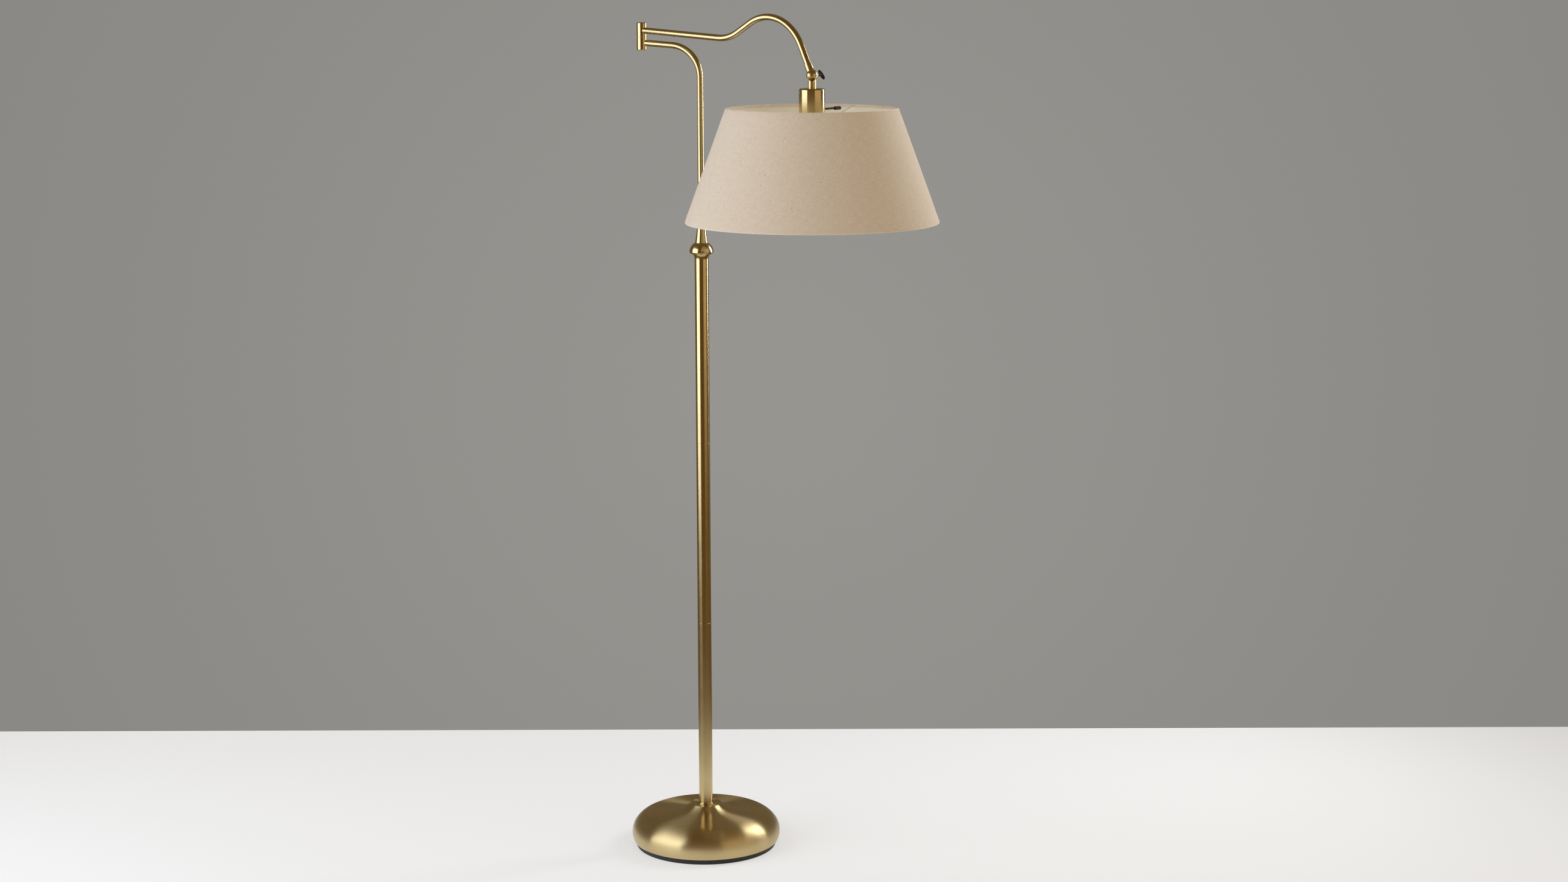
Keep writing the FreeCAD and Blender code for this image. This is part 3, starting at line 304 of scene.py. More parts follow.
lathe_turn_parts = add_node(lathe_lines, "SeparateXYZ", {0: lathe_turn.outputs[0]})


def lathe_noise(share, detail):
    """Noise whose grain is the pitch times share wide, across the lines only."""
    width = add_node(lathe_lines, "Math", {0: lathe_in.outputs["Pitch"], 1: share}, operation="MULTIPLY")
    across = add_node(lathe_lines, "Math", {
        0: lathe_radius.outputs["Value"],
        1: width.outputs[0],
    }, operation="DIVIDE")
    along = add_node(lathe_lines, "Math", {
        0: lathe_parts.outputs[2],
        1: width.outputs[0],
    }, operation="DIVIDE")
    place = add_node(lathe_lines, "CombineXYZ", {
        0: across.outputs[0],
        1: along.outputs[0],
        2: lathe_turn_parts.outputs[0],
    })
    return add_node(lathe_lines, "TexNoise", {
        "Vector": place.outputs[0],
        "W": lathe_turn_parts.outputs[1],
        "Scale": 1.0,
        "Detail": detail,
        "Roughness": 0.6,
    }, noise_dimensions="4D")


lathe_fine = lathe_noise(1.0, 2.0)
lathe_broad = lathe_noise(9.0, 1.0)
lathe_lines.links.new(lathe_fine.outputs[0], lathe_out.inputs["Height"])
lathe_lines.links.new(lathe_broad.outputs[0], lathe_out.inputs["Tone"])

# What hands and dusting leave on lacquer: soft cloudy patches, and a few fine specks.
handling, handling_in, handling_out = start_group(
    "handling",
    [("Position", "Vector", (0, 0, 0)), ("Patch", "Float", 0.05)],
    [("Clouds", "Float"), ("Specks", "Float")],
)
handling_scale = add_node(handling, "Math", {0: 1.0, 1: handling_in.outputs["Patch"]}, operation="DIVIDE")
handling_noise = add_node(handling, "TexNoise", {
    "Vector": handling_in.outputs["Position"],
    "Scale": handling_scale.outputs[0],
    "Detail": 5.0,
    "Roughness": 0.62,
})
handling_clouds = add_node(handling, "MapRange", {
    "Value": handling_noise.outputs[0],
    "From Min": 0.36,
    "From Max": 0.66,
})
handling_cells = add_node(handling, "TexVoronoi", {
    "Vector": handling_in.outputs["Position"],
    "Scale": 150.0,
    "Randomness": 1.0,
})
handling_dots = add_node(handling, "MapRange", {
    "Value": handling_cells.outputs["Distance"],
    "From Min": 0.065,
    "From Max": 0.03,
})
handling_chance = add_node(handling, "SeparateXYZ", {0: handling_cells.outputs["Color"]})
handling_chosen = add_node(handling, "Math", {0: handling_chance.outputs[0], 1: 0.14}, operation="LESS_THAN")
handling_specks = add_node(handling, "Math", {
    0: handling_dots.outputs[0],
    1: handling_chosen.outputs[0],
}, operation="MULTIPLY")
handling.links.new(handling_clouds.outputs[0], handling_out.inputs["Clouds"])
handling.links.new(handling_specks.outputs[0], handling_out.inputs["Specks"])


def turned_metal(name, tones, centre, pitch, brushed, gloss, grain):
    """Metal turned about the upright axis through centre; brushed is how far its highlights stretch."""
    dull, bright, stain = tones
    finish, tree, shader = start_finish(name, Metallic=1.0, Anisotropic=brushed, Anisotropic_Rotation=0.25)
    spot = add_node(tree, "TexCoord")
    own = add_node(tree, "Mapping", {
        "Vector": spot.outputs["Object"],
        "Location": centre,
    }, vector_type="TEXTURE")
    lines = place_group(tree, lathe_lines, {"Position": own.outputs[0], "Pitch": pitch})
    touched = place_group(tree, handling, {"Position": own.outputs[0], "Patch": 0.09})
    tone = add_node(tree, "MixRGB", {
        "Fac": lines.outputs["Tone"],
        "Color1": (*dull, 1.0),
        "Color2": (*bright, 1.0),
    })
    aged = add_node(tree, "MixRGB", {
        "Fac": touched.outputs["Clouds"],
        "Color1": tone.outputs[0],
        "Color2": (*dull, 1.0),
    })
    speckled = add_node(tree, "MixRGB", {
        "Fac": touched.outputs["Specks"],
        "Color1": aged.outputs[0],
        "Color2": (*stain, 1.0),
    })
    tree.links.new(speckled.outputs[0], shader.inputs["Base Color"])
    worn = add_node(tree, "MapRange", {
        "Value": touched.outputs["Clouds"],
        "To Min": gloss - 0.02,
        "To Max": gloss + 0.03,
    })
    line_roughness = 0.12 * grain
    lined = add_node(tree, "Math", {
        0: lines.outputs["Height"],
        1: line_roughness,
        2: worn.outputs[0],
    }, operation="MULTIPLY_ADD")
    tree.links.new(lined.outputs[0], shader.inputs["Roughness"])
    raised = add_node(tree, "Bump", {
        "Height": lines.outputs["Height"],
        "Distance": 0.00002,
        "Strength": grain,
    })
    tree.links.new(raised.outputs[0], shader.inputs["Normal"])
    round_axis = add_node(tree, "Tangent", direction_type="RADIAL", axis="Z")
    tree.links.new(round_axis.outputs[0], shader.inputs["Tangent"])
    return finish


def brass(name, centre, pitch=0.0004, brushed=0.7, gloss=0.2, grain=0.1):
    """Lacquered brass."""
    tones = ((0.62, 0.485, 0.245), (0.70, 0.57, 0.315), (0.46, 0.33, 0.15))
    return turned_metal(name, tones, centre, pitch, brushed, gloss, grain)


finish_nodes(brass("base_brass", (0, 0, 0), pitch=0.0008, brushed=0.97, gloss=0.28, grain=0.4), "base_shell")


# Inside the base: a cast iron weight with black paint, a die-cut felt disc glued under it, a rubber
# bushing pressed into the hole in the back of the rim, and zinc plated washers, nuts and threaded tubes.

def scattered_bump(tree, shader, height, distance, strength):
    """Raises a surface by a pattern."""
    raised = add_node(tree, "Bump", {"Height": height, "Distance": distance, "Strength": strength})
    tree.links.new(raised.outputs[0], shader.inputs["Normal"])


def speckled_finish(name, dark, light, grain, rough, bump, **values):
    """A fine-grained finish, such as paint on a casting, plastic or rubber, in two close tones."""
    finish, tree, shader = start_finish(name, **values)
    spot = add_node(tree, "TexCoord")
    grains = add_node(tree, "TexNoise", {
        "Vector": spot.outputs["Object"],
        "Scale": 1.0 / grain,
        "Detail": 3.0,
    })
    touched = place_group(tree, handling, {"Position": spot.outputs["Object"], "Patch": 0.02})
    mixed = add_node(tree, "Math", {
        0: grains.outputs[0],
        1: touched.outputs["Clouds"],
    }, operation="MULTIPLY")
    tone = add_node(tree, "MixRGB", {
        "Fac": mixed.outputs[0],
        "Color1": (*dark, 1.0),
        "Color2": (*light, 1.0),
    })
    tree.links.new(tone.outputs[0], shader.inputs["Base Color"])
    worn = add_node(tree, "MapRange", {
        "Value": touched.outputs["Clouds"],
        "To Min": rough - 0.05,
        "To Max": rough + 0.06,
    })
    tree.links.new(worn.outputs[0], shader.inputs["Roughness"])
    scattered_bump(tree, shader, grains.outputs[0], bump, 0.6)
    return finish


def spun_piece(name, outline, centre, steps, finish, closed=False, turn=None):
    """Spins a run of (radius, height) points round an upright axis, as on a lathe."""
    form = bmesh.new()
    corners = [form.verts.new((radius, 0.0, height)) for radius, height in outline]
    edges = [form.edges.new(pair) for pair in zip(corners, corners[1:])]
    if closed:
        edges.append(form.edges.new((corners[-1], corners[0])))
    bmesh.ops.spin(
        form, geom=corners + edges, cent=(0, 0, 0), axis=(0, 0, 1), angle=2 * math.pi,
        steps=steps, use_merge=True, use_duplicate=False,
    )
    bmesh.ops.remove_doubles(form, verts=form.verts, dist=0.000001)
    bmesh.ops.recalc_face_normals(form, faces=form.faces)
    placed = Matrix.Translation(centre) @ (turn or Matrix.Identity(4))
    bmesh.ops.transform(form, matrix=placed, verts=form.verts)
    return finished_piece(name, form, finish)


def finished_piece(name, form, finish, smooth_below=40.0):
    """Makes an object of a bmesh, smooth except across edges sharper than smooth_below degrees."""
    for face in form.faces:
        face.smooth = True
    for edge in form.edges:
        edge.smooth = len(edge.link_faces) == 2 and edge.calc_face_angle() < math.radians(smooth_below)
    mesh = bpy.data.meshes.new(name)
    form.to_mesh(mesh)
    form.free()
    mesh.materials.append(finish)
    piece = bpy.data.objects.new(name, mesh)
    bpy.context.scene.collection.objects.link(piece)
    return piece


finish_nodes(
    speckled_finish("cast_weight_paint", (0.012, 0.012, 0.012), (0.035, 0.034, 0.033), 0.0011, 0.5, 0.0003),
    "base_weight",
)
finish_nodes(
    speckled_finish("bushing_rubber", (0.014, 0.014, 0.014), (0.03, 0.029, 0.028), 0.0006, 0.62, 0.00006),
    "cord_bushing",
)

felt, felt_tree, felt_shader = start_finish("base_felt", Roughness=1.0, Sheen_Weight=0.5, Sheen_Roughness=0.5)
felt_spot = add_node(felt_tree, "TexCoord")
felt_hairs = add_node(felt_tree, "TexNoise", {
    "Vector": felt_spot.outputs["Object"],
    "Scale": 1400.0,
    "Detail": 4.0,
    "Distortion": 1.2,
})
felt_tone = add_node(felt_tree, "MixRGB", {
    "Fac": felt_hairs.outputs[0],
    "Color1": (0.008, 0.009, 0.009, 1.0),
    "Color2": (0.045, 0.046, 0.045, 1.0),
})
felt_tree.links.new(felt_tone.outputs[0], felt_shader.inputs["Base Color"])
scattered_bump(felt_tree, felt_shader, felt_hairs.outputs[0], 0.0004, 0.9)

pad_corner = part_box("base_pad")[1]
pad_radius = pad_corner[0]
pad_thickness = pad_corner[2]
pad_trim = 0.0002
pad_rounding = 0.0008
felt_disc = bmesh.new()
bmesh.ops.create_circle(felt_disc, cap_ends=True, segments=160, radius=pad_radius - pad_trim)
pad_top = bmesh.ops.extrude_face_region(felt_disc, geom=felt_disc.faces[:])["geom"]
pad_top_points = [part for part in pad_top if isinstance(part, bmesh.types.BMVert)]
bmesh.ops.translate(felt_disc, vec=(0, 0, pad_thickness), verts=pad_top_points)
bmesh.ops.recalc_face_normals(felt_disc, faces=felt_disc.faces)
pad_rims = [edge for edge in felt_disc.edges if edge.calc_face_angle() > 1.0]
bmesh.ops.bevel(
    felt_disc, geom=pad_rims, offset=pad_rounding, offset_type="OFFSET", segments=3,
    profile=0.5, affect="EDGES", material=-1,
)
pad_edge_band = 0.0009
pad_raggedness = 0.0025
for point in felt_disc.verts:
    if point.co.xy.length > pad_radius - pad_edge_band:
        point.co.xy *= 1.0 - pad_raggedness * abs(noise.noise(point.co * 220.0))
felt_pad = finished_piece("felt_disc", felt_disc, felt, 60.0)
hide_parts("base_pad")
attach(felt_pad, "stand")

zinc, zinc_tree, zinc_shader = start_finish("zinc_plate", Metallic=1.0)
zinc_spot = add_node(zinc_tree, "TexCoord")
zinc_touched = place_group(zinc_tree, handling, {"Position": zinc_spot.outputs["Object"], "Patch": 0.006})
zinc_tone = add_node(zinc_tree, "MixRGB", {
    "Fac": zinc_touched.outputs["Clouds"],
    "Color1": (0.46, 0.47, 0.48, 1.0),
    "Color2": (0.66, 0.66, 0.64, 1.0),
})
zinc_tree.links.new(zinc_tone.outputs[0], zinc_shader.inputs["Base Color"])
zinc_rough = add_node(zinc_tree, "MapRange", {
    "Value": zinc_touched.outputs["Clouds"],
    "To Min": 0.28,
    "To Max": 0.42,
})
zinc_tree.links.new(zinc_rough.outputs[0], zinc_shader.inputs["Roughness"])
finish_nodes(
    zinc, "base_washer", "base_nut", "base_nipple", "foot_insert", "lower_coupler", "upper_coupler",
    "top_insert", "collar_nipple", "swing_pin", "swing_nut", "wave_washer", "cup_nipple", "cup_nut",
    "thumb_screw",
)


# The pole: three lengths of brass tube screwed end to end over hidden couplers, standing in a small
# spun ring on the base. The tube is polished round its axis and lacquered.

finish_nodes(
    brass("pole_brass", (0, 0, 0), pitch=0.002, gloss=0.2, grain=0.0),
    "lower_pole", "middle_pole", "upper_pole", "pole_seat_ring",
)


# The collar at the top of the pole: a spun cup, a domed cap that overhangs it and a short cone that
# holds the foot of the thin upright tube.

finish_nodes(
    brass("collar_brass", (0, 0, 0), pitch=0.001, gloss=0.21, grain=0.03),
    "collar_cup", "collar_dome", "neck_cone",
)


# The upright tube and the arm: thin brass tube, bent cold, buffed and lacquered, so it is smoother than
# the turned pieces and its highlights follow the bends.

finish_nodes(
    brass("tube_brass", (0, 0, 0), pitch=0.004, brushed=0.0, gloss=0.24, grain=0.0),
    "post_tube", "arm_tube",
)


# The swing joint: two turned barrels, one on the upright and one on the arm, on a steel pin with a nylon
# washer between them and a wave washer that gives the drag.

pivot = (-0.106, 0.040, 1.5052)
finish_nodes(
    brass("barrel_brass", pivot, brushed=0.6, gloss=0.18, grain=0.08),
    "lower_knuckle", "upper_knuckle", "knuckle_cap",
)
finish_nodes(
    speckled_finish("washer_nylon", (0.62, 0.60, 0.55), (0.74, 0.72, 0.67), 0.0008, 0.45, 0.00004),
    "swing_washer",
)


# The tilting joint at the end of the arm: a split brass ball, one half on the arm and one on the lamp
# head, pinched by a screw with an oval cast key for the thumb.

ball = Vector((0.198626, -0.244068, 1.447415))
across_arm = Vector((0.6820, 0.7314, 0.0))
along_arm = Vector((0.7314, -0.6820, 0.0))
finish_nodes(
    brass("ball_brass", tuple(ball), brushed=0.0, gloss=0.30, grain=0.05),
    "arm_swivel_half", "head_swivel_half", "thumb_washer",
)
dark_bronze = speckled_finish(
    "dark_bronze", (0.030, 0.027, 0.021), (0.085, 0.074, 0.055), 0.0012, 0.38, 0.00006, Metallic=0.75,
)
finish_nodes(dark_bronze, "switch_stem", "switch_knob")

key_blade = bmesh.new()
key_half_length = 0.0099
key_half_width = 0.00415
key_thickness = 0.0024
key_rim_width = 0.0009
key_rim_height = 0.0005
key_rounding = 0.00035
key_reach = 0.0243
key_lean = math.radians(40.0)
bmesh.ops.create_circle(key_blade, cap_ends=True, segments=72, radius=1.0)
bmesh.ops.scale(key_blade, vec=(key_half_length, key_half_width, 1.0), verts=key_blade.verts)
key_front = bmesh.ops.extrude_face_region(key_blade, geom=key_blade.faces[:])["geom"]
key_front_points = [part for part in key_front if isinstance(part, bmesh.types.BMVert)]
bmesh.ops.translate(key_blade, vec=(0, 0, key_thickness), verts=key_front_points)
bmesh.ops.translate(key_blade, vec=(0, 0, -key_thickness / 2), verts=key_blade.verts)
bmesh.ops.recalc_face_normals(key_blade, faces=key_blade.faces)
for key_face in [face for face in key_blade.faces if len(face.verts) > 4]:
    bmesh.ops.inset_region(key_blade, faces=[key_face], thickness=key_rim_width, use_even_offset=True)
    bmesh.ops.inset_region(
        key_blade, faces=[key_face], thickness=key_rim_height, depth=-key_rim_height, use_even_offset=True,
    )
key_rims = [edge for edge in key_blade.edges if edge.calc_face_angle() > 1.2]
bmesh.ops.bevel(
    key_blade, geom=key_rims, offset=key_rounding, offset_type="OFFSET", segments=3,
    profile=0.5, affect="EDGES", material=-1,
)
key_long = Vector((0, 0, 1)) * math.cos(key_lean) - along_arm * math.sin(key_lean)
key_turn = Matrix((key_long, across_arm, key_long.cross(across_arm))).transposed().to_4x4()
key_place = Matrix.Translation(ball + across_arm * key_reach) @ key_turn
bmesh.ops.transform(key_blade, matrix=key_place, verts=key_blade.verts)
blade = finished_piece("key_blade", key_blade, dark_bronze)
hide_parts("thumb_key")

worn_bronze = speckled_finish(
    "worn_bronze", (0.10, 0.085, 0.058), (0.20, 0.17, 0.115), 0.0008, 0.33, 0.00003, Metallic=0.85,
)
shank_outline = [
    (0.0, 0.01028), (0.0031, 0.01028), (0.0034, 0.0106), (0.0034, 0.0122), (0.0031, 0.0126),
    (0.0027, 0.0137), (0.0026, 0.0160), (0.0028, 0.0186), (0.0031, 0.0199), (0.0030, 0.0206),
    (0.0022, 0.0213), (0.0, 0.0215),
]
shank_turn = across_arm.to_track_quat("Z", "Y").to_matrix().to_4x4()
shank = spun_piece("key_shank", shank_outline, ball, steps=48, finish=worn_bronze, turn=shank_turn)
for key_piece in (blade, shank):
    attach(key_piece, "thumbscrew")


# The lamp holder: a brass cup on the swivel, with a moulded body and an aluminium screw shell inside it,
# a rotary switch whose dark stem comes out of the cup's side, and a fluted ring nut that clamps the shade.

holder_centre = (ball.x, ball.y, 1.39)
finish_nodes(
    brass("cup_brass", holder_centre, gloss=0.19, grain=0.06),
    "socket_cup", "centre_contact",
)
holder_plastic = speckled_finish(
    "holder_plastic", (0.60, 0.57, 0.50), (0.72, 0.69, 0.62), 0.0009, 0.42, 0.00005,
)
finish_nodes(holder_plastic, "socket_body")

nut_outline = [
    (0.0179, 0.0004), (0.0183, 0.0), (0.0214, 0.0), (0.0219, 0.0005), (0.0219, 0.0060), (0.0205, 0.0066),
    (0.0203, 0.0080), (0.0183, 0.0080), (0.0179, 0.0076),
]
nut_foot = 1.3514
flutes = 36
flute_depth = 0.0007
fluted_from = 0.0217
ring_nut = spun_piece(
    "fluted_ring_nut", nut_outline, (ball.x, ball.y, nut_foot), steps=8 * flutes, finish=holder_plastic,
    closed=True,
)
for point in ring_nut.data.vertices:
    out = Vector((point.co.x - ball.x, point.co.y - ball.y, 0.0))
    if out.length > fluted_from:
        flute = 0.5 + 0.5 * math.cos(flutes * math.atan2(out.y, out.x))
        point.co -= out.normalized() * (flute_depth * flute)
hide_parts("shade_ring_nut")
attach(ring_nut, "head")
aluminium_tones = ((0.66, 0.66, 0.65), (0.76, 0.76, 0.76), (0.45, 0.44, 0.42))
finish_nodes(
    turned_metal(
        "shell_aluminium", aluminium_tones, holder_centre, pitch=0.0006, brushed=0.0, gloss=0.3, grain=0.2,
    ),
    "screw_shell", "bulb_cap",
)


# The globe bulb: blown glass with a soft even white coat inside, cemented to its screw cap. It is lit
# low, so it looks warm and doesn't glare.

bulb_glass, bulb_tree, bulb_shader = start_finish("frosted_glass", Roughness=0.35, Emission_Strength=0.9)
bulb_spot = add_node(bulb_tree, "TexCoord")
bulb_coat = add_node(bulb_tree, "TexNoise", {
    "Vector": bulb_spot.outputs["Object"],
    "Scale": 60.0,
    "Detail": 4.0,
})
bulb_tone = add_node(bulb_tree, "MixRGB", {
    "Fac": bulb_coat.outputs[0],
    "Color1": (0.80, 0.78, 0.72, 1.0),
    "Color2": (0.90, 0.88, 0.83, 1.0),
})
bulb_glow = add_node(bulb_tree, "MixRGB", {
    "Fac": bulb_coat.outputs[0],
    "Color1": (1.0, 0.80, 0.52, 1.0),
    "Color2": (1.0, 0.87, 0.64, 1.0),
})
bulb_tree.links.new(bulb_tone.outputs[0], bulb_shader.inputs["Base Color"])
bulb_tree.links.new(bulb_glow.outputs[0], bulb_shader.inputs["Emission Color"])
finish_nodes(bulb_glass, "bulb_glass")


# The shade's frame: a washer with a turned-down rim and three spokes to the top ring, all steel with
# white powder coat, and a bottom ring of the same wire.

finish_nodes(
    speckled_finish("white_powder", (0.66, 0.65, 0.61), (0.78, 0.77, 0.73), 0.0006, 0.45, 0.00005),
    "shade_fitter", "spoke_1", "spoke_2", "spoke_3", "top_ring", "bottom_ring",
)


# The shade's lining: ivory styrene sheet rolled to a cone and lapped at the back, which keeps the linen
# round and throws the light down.

liner, liner_tree, liner_shader = start_finish("ivory_liner", Roughness=0.42)
liner_spot = add_node(liner_tree, "TexCoord")
liner_clouds = add_node(liner_tree, "TexNoise", {
    "Vector": liner_spot.outputs["Object"],
    "Scale": 14.0,
    "Detail": 3.0,
})
liner_grain = add_node(liner_tree, "TexNoise", {
    "Vector": liner_spot.outputs["Object"],
    "Scale": 900.0,
    "Detail": 2.0,
})
liner_tone = add_node(liner_tree, "MixRGB", {
    "Fac": liner_clouds.outputs[0],
    "Color1": (0.84, 0.79, 0.64, 1.0),
    "Color2": (0.90, 0.86, 0.73, 1.0),
})
liner_tree.links.new(liner_tone.outputs[0], liner_shader.inputs["Base Color"])
scattered_bump(liner_tree, liner_shader, liner_grain.outputs[0], 0.00006, 0.4)
finish_nodes(liner, "shade_lining")


# The shade's cover: natural linen glued to the lining, folded round the top and bottom wires and down
# inside as a hem, with its two ends lapped at the back.

shade_axis = Vector((ball.x, ball.y, 0.0))
# Places and directions on the cone are (away from the shade's axis, up).
cone_top = Vector((0.1485, 1.3919))
cone_slant = Vector((0.34276, -0.93960))
cone_out = Vector((0.93960, 0.34276))
slant_length = 0.2086
# Cut out and laid flat, the cone is this share of a full disc, about its own apex.
rolled_share = cone_slant.x
apex_to_top = cone_top.x / cone_slant.x
seam_angle = math.radians(120.0)


def on_cone(slant, depth):
    """(radius, height) of a point slant below the cover's top edge and depth out from its face."""
    return cone_top + cone_slant * slant + cone_out * depth


cloth_half = 0.0003
roll_middle = (0.0020, -0.0026)
roll_half_width = 0.00215
roll_half_depth = 0.0023


def roll_point(degrees, tuck):
    """A point of the rolled edge: 0 on the face, 90 over the wire, 180 inside; tuck is its underside."""
    reach = math.sin(math.radians(degrees)) * (roll_half_width if degrees <= 180 else tuck)
    return roll_middle[0] - reach, roll_middle[1] + roll_half_depth * math.cos(math.radians(degrees))


rolled_edge = [roll_point(degrees, 0.0024) for degrees in range(0, 300, 18)]
cover_run = list(reversed(rolled_edge))
for row in range(1, 12):
    cover_run.append((slant_length * row / 12, -cloth_half))
cover_run += [(slant_length - slant, depth) for slant, depth in rolled_edge]

round_steps = 216
cover = bmesh.new()
cloth_length = cover.verts.layers.float.new("cloth_length")
length_so_far = 0.0
cover_points = []
for index, (slant, depth) in enumerate(cover_run):
    if index:
        length_so_far += math.hypot(slant - cover_run[index - 1][0], depth - cover_run[index - 1][1])
    radius, height = on_cone(slant, depth)
    point = cover.verts.new((radius, 0.0, height))
    point[cloth_length] = length_so_far
    cover_points.append(point)
cover_edges = [cover.edges.new(pair) for pair in zip(cover_points, cover_points[1:])]
bmesh.ops.rotate(cover, cent=(0, 0, 0), matrix=Matrix.Rotation(seam_angle, 3, "Z"), verts=cover.verts)
bmesh.ops.spin(
    cover, geom=cover_points + cover_edges, cent=(0, 0, 0), axis=(0, 0, 1), angle=2 * math.pi,
    steps=round_steps, use_merge=True, use_duplicate=False,
)
bmesh.ops.recalc_face_normals(cover, faces=cover.faces)
cut_map = cover.loops.layers.uv.new("cut_cloth")
roll_allowance = 0.0105
edge_start = apex_to_top - roll_allowance
for face in cover.faces:
    middle = face.calc_center_median()
    face_turn = (math.atan2(middle.y, middle.x) - seam_angle) % (2 * math.pi)
    for loop in face.loops:
        turn = (math.atan2(loop.vert.co.y, loop.vert.co.x) - seam_angle) % (2 * math.pi)
        if turn - face_turn > math.pi:
            turn -= 2 * math.pi
        if face_turn - turn > math.pi:
            turn += 2 * math.pi
        rolled = (turn - math.pi) * rolled_share
        reach = edge_start + loop.vert[cloth_length]
        loop[cut_map].uv = (reach * math.sin(rolled), -reach * math.cos(rolled))
lap_width = 0.012
lap_rise = 0.0006
ripple_rise = 0.00025
# A hair's turn that counts the points on the seam itself as lapped.
seam_slack = 0.001
for point in cover.verts:
    out = Vector((point.co.x, point.co.y, 0.0)).normalized()
    turn = (math.atan2(out.y, out.x) - seam_angle + seam_slack) % (2 * math.pi)
    lap = lap_rise if turn * point.co.xy.length < lap_width else 0.0
    ripple = 0.5 + 0.5 * noise.noise(Vector((point.co.x * 30.0, point.co.y * 30.0, point.co.z * 22.0)))
    point.co += (out * cone_out.x + Vector((0, 0, cone_out.y))) * (ripple_rise * ripple + lap)
bmesh.ops.translate(cover, vec=shade_axis, verts=cover.verts)

# Plain-woven linen: uneven threads both ways, 0.7 mm apart, with thick soft slubs and a few dark and
# light flecks. A band pattern repeats every 2 pi / (20 scale) metres.
thread_pitch_scale = 449.0
woven, woven_in, woven_out = start_group(
    "woven_linen",
    [("Position", "Vector", (0, 0, 0))],
    [("Height", "Float"), ("Slubs", "Float"), ("Dark Flecks", "Float"), ("Light Flecks", "Float")],
)


def streaks(across, along, detail):
    """Noise drawn out into threads: across and along are how fast it changes each way, per metre."""
    stretched = add_node(woven, "VectorMath", {
        0: woven_in.outputs["Position"],
        1: (across, along, 1.0),
    }, operation="MULTIPLY")
    return add_node(woven, "TexNoise", {
        "Vector": stretched.outputs[0],
        "Scale": 1.0,
        "Detail": detail,
        "Roughness": 0.55,
    }, noise_dimensions="2D")


def threads(direction):
    """One set of parallel threads, each a little crooked."""
    return add_node(woven, "TexWave", {
        "Vector": woven_in.outputs["Position"],
        "Scale": thread_pitch_scale,
        "Distortion": 2.5,
        "Detail": 2.0,
        "Detail Scale": 0.15,
    }, wave_type="BANDS", bands_direction=direction, wave_profile="SIN")


warp = threads("X")
weft = threads("Y")
weave_sum = add_node(woven, "Math", {0: warp.outputs[1], 1: weft.outputs[1]}, operation="ADD")
upright_slubs = streaks(1250.0, 85.0, 2.0)
level_slubs = streaks(75.0, 1150.0, 2.0)
both_slubs = add_node(woven, "Math", {
    0: upright_slubs.outputs[0],
    1: level_slubs.outputs[0],
}, operation="ADD")
slub_tone = add_node(woven, "MapRange", {
    "Value": both_slubs.outputs[0],
    "From Min": 0.62,
    "From Max": 1.38,
})
woven_height = add_node(woven, "Math", {
    0: weave_sum.outputs[0],
    1: 0.35,
    2: slub_tone.outputs[0],
}, operation="MULTIPLY_ADD")
fleck_stretch = add_node(woven, "VectorMath", {
    0: woven_in.outputs["Position"],
    1: (1.0, 0.45, 1.0),
}, operation="MULTIPLY")


def flecks(spacing, size, rarity):
    """Scattered short flecks of another fibre; only some cells hold one."""
    cells = add_node(woven, "TexVoronoi", {
        "Vector": fleck_stretch.outputs[0],
        "Scale": 1.0 / spacing,
        "Randomness": 1.0,
    }, voronoi_dimensions="2D")
    spots = add_node(woven, "MapRange", {
        "Value": cells.outputs["Distance"],
        "From Min": size,
        "From Max": size * 0.4,
    })
    chance = add_node(woven, "SeparateXYZ", {0: cells.outputs["Color"]})
    chosen = add_node(woven, "Math", {0: chance.outputs[0], 1: rarity}, operation="LESS_THAN")
    return add_node(woven, "Math", {0: spots.outputs[0], 1: chosen.outputs[0]}, operation="MULTIPLY")


dark_flecks = flecks(0.0110, 0.055, 0.13)
light_flecks = flecks(0.0090, 0.055, 0.22)
woven.links.new(woven_height.outputs[0], woven_out.inputs["Height"])
woven.links.new(slub_tone.outputs[0], woven_out.inputs["Slubs"])
woven.links.new(dark_flecks.outputs[0], woven_out.inputs["Dark Flecks"])
woven.links.new(light_flecks.outputs[0], woven_out.inputs["Light Flecks"])

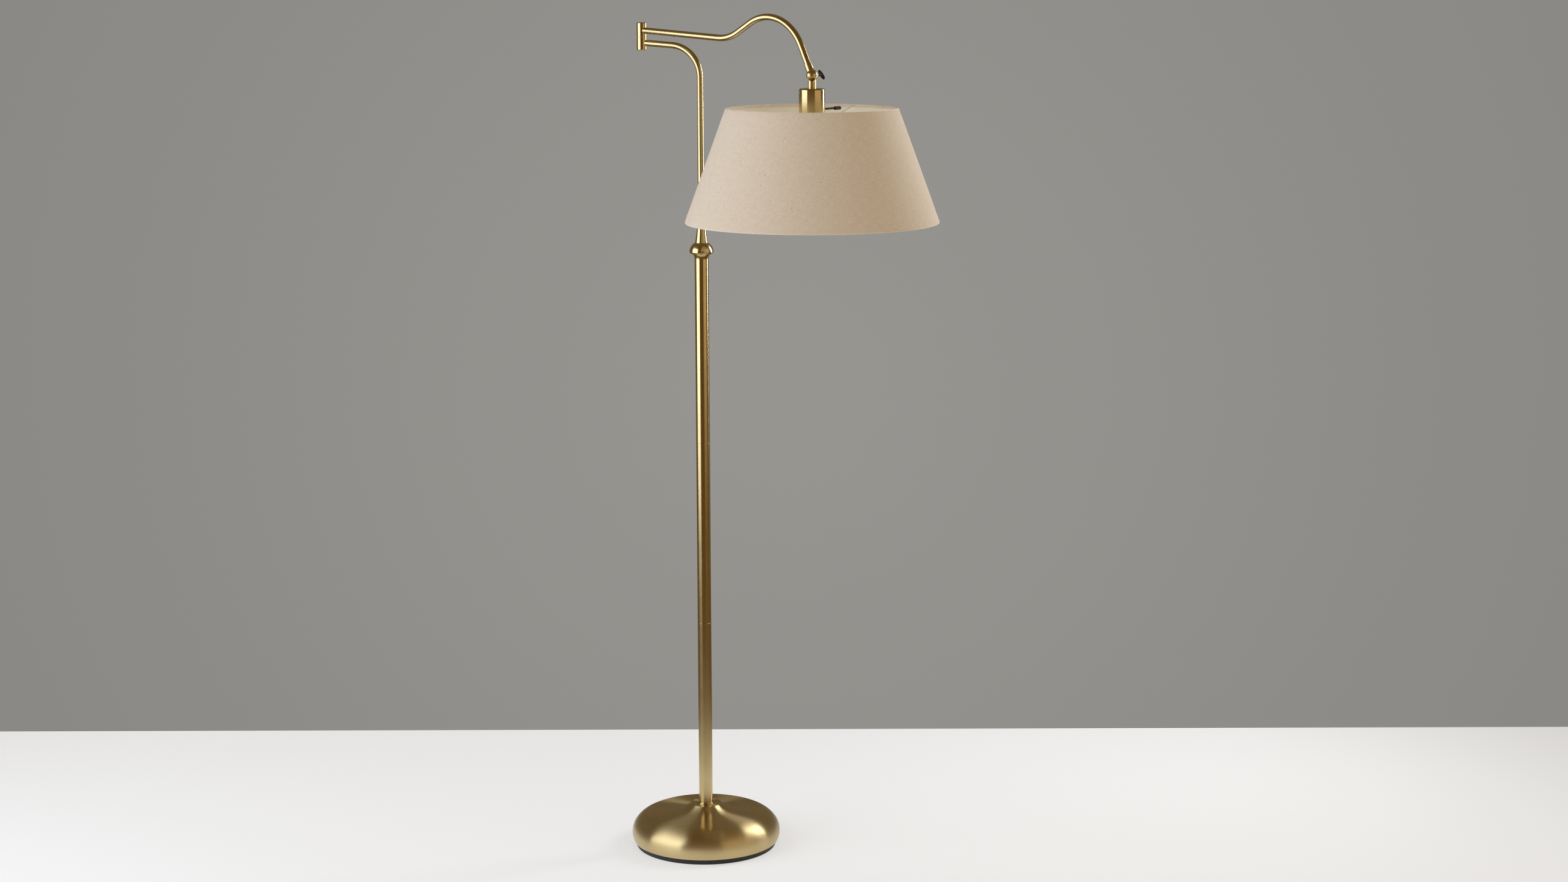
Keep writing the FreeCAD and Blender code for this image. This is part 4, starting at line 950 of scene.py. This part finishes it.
linen, linen_tree, linen_shader = start_finish(
    "natural_linen", Roughness=0.9, Sheen_Weight=0.15, Sheen_Roughness=0.6,
)
linen_map = add_node(linen_tree, "UVMap", uv_map="cut_cloth")
linen_weave = place_group(linen_tree, woven, {"Position": linen_map.outputs[0]})
linen_tone = add_node(linen_tree, "MixRGB", {
    "Fac": linen_weave.outputs["Slubs"],
    "Color1": (0.63, 0.525, 0.415, 1.0),
    "Color2": (0.76, 0.665, 0.545, 1.0),
})
linen_dark = add_node(linen_tree, "MixRGB", {
    "Fac": linen_weave.outputs["Dark Flecks"],
    "Color1": linen_tone.outputs[0],
    "Color2": (0.26, 0.17, 0.10, 1.0),
})
linen_light = add_node(linen_tree, "MixRGB", {
    "Fac": linen_weave.outputs["Light Flecks"],
    "Color1": linen_dark.outputs[0],
    "Color2": (0.86, 0.80, 0.70, 1.0),
})
linen_tree.links.new(linen_light.outputs[0], linen_shader.inputs["Base Color"])
scattered_bump(linen_tree, linen_shader, linen_weave.outputs["Height"], 0.00012, 0.5)

# The lining's own lap, glued down inside at the same place as the linen's.
strip_width = 0.010
strip_depth = -0.0018
strip_margin = 0.007
lap_strip = bmesh.new()
bmesh.ops.create_grid(lap_strip, x_segments=4, y_segments=24, size=0.5)
for point in lap_strip.verts:
    strip_slant = strip_margin + (0.5 - point.co.y) * (slant_length - 2 * strip_margin)
    radius, height = on_cone(strip_slant, strip_depth)
    turn = seam_angle + point.co.x * strip_width / radius
    point.co = (radius * math.cos(turn), radius * math.sin(turn), height)
bmesh.ops.recalc_face_normals(lap_strip, faces=lap_strip.faces)
bmesh.ops.translate(lap_strip, vec=shade_axis, verts=lap_strip.verts)
lining_lap = finished_piece("lining_lap", lap_strip, liner)
strip_sheet = lining_lap.modifiers.new("sheet_thickness", "SOLIDIFY")
strip_sheet.thickness = 0.0007
strip_sheet.offset = 0.0
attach(lining_lap, "head")

linen_cover = finished_piece("linen_cover", cover, linen, 80.0)
thickened = linen_cover.modifiers.new("cloth_thickness", "SOLIDIFY")
thickened.thickness = 2 * cloth_half
thickened.offset = 0.0
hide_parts("shade_fabric", "top_hem", "bottom_hem")
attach(linen_cover, "head")
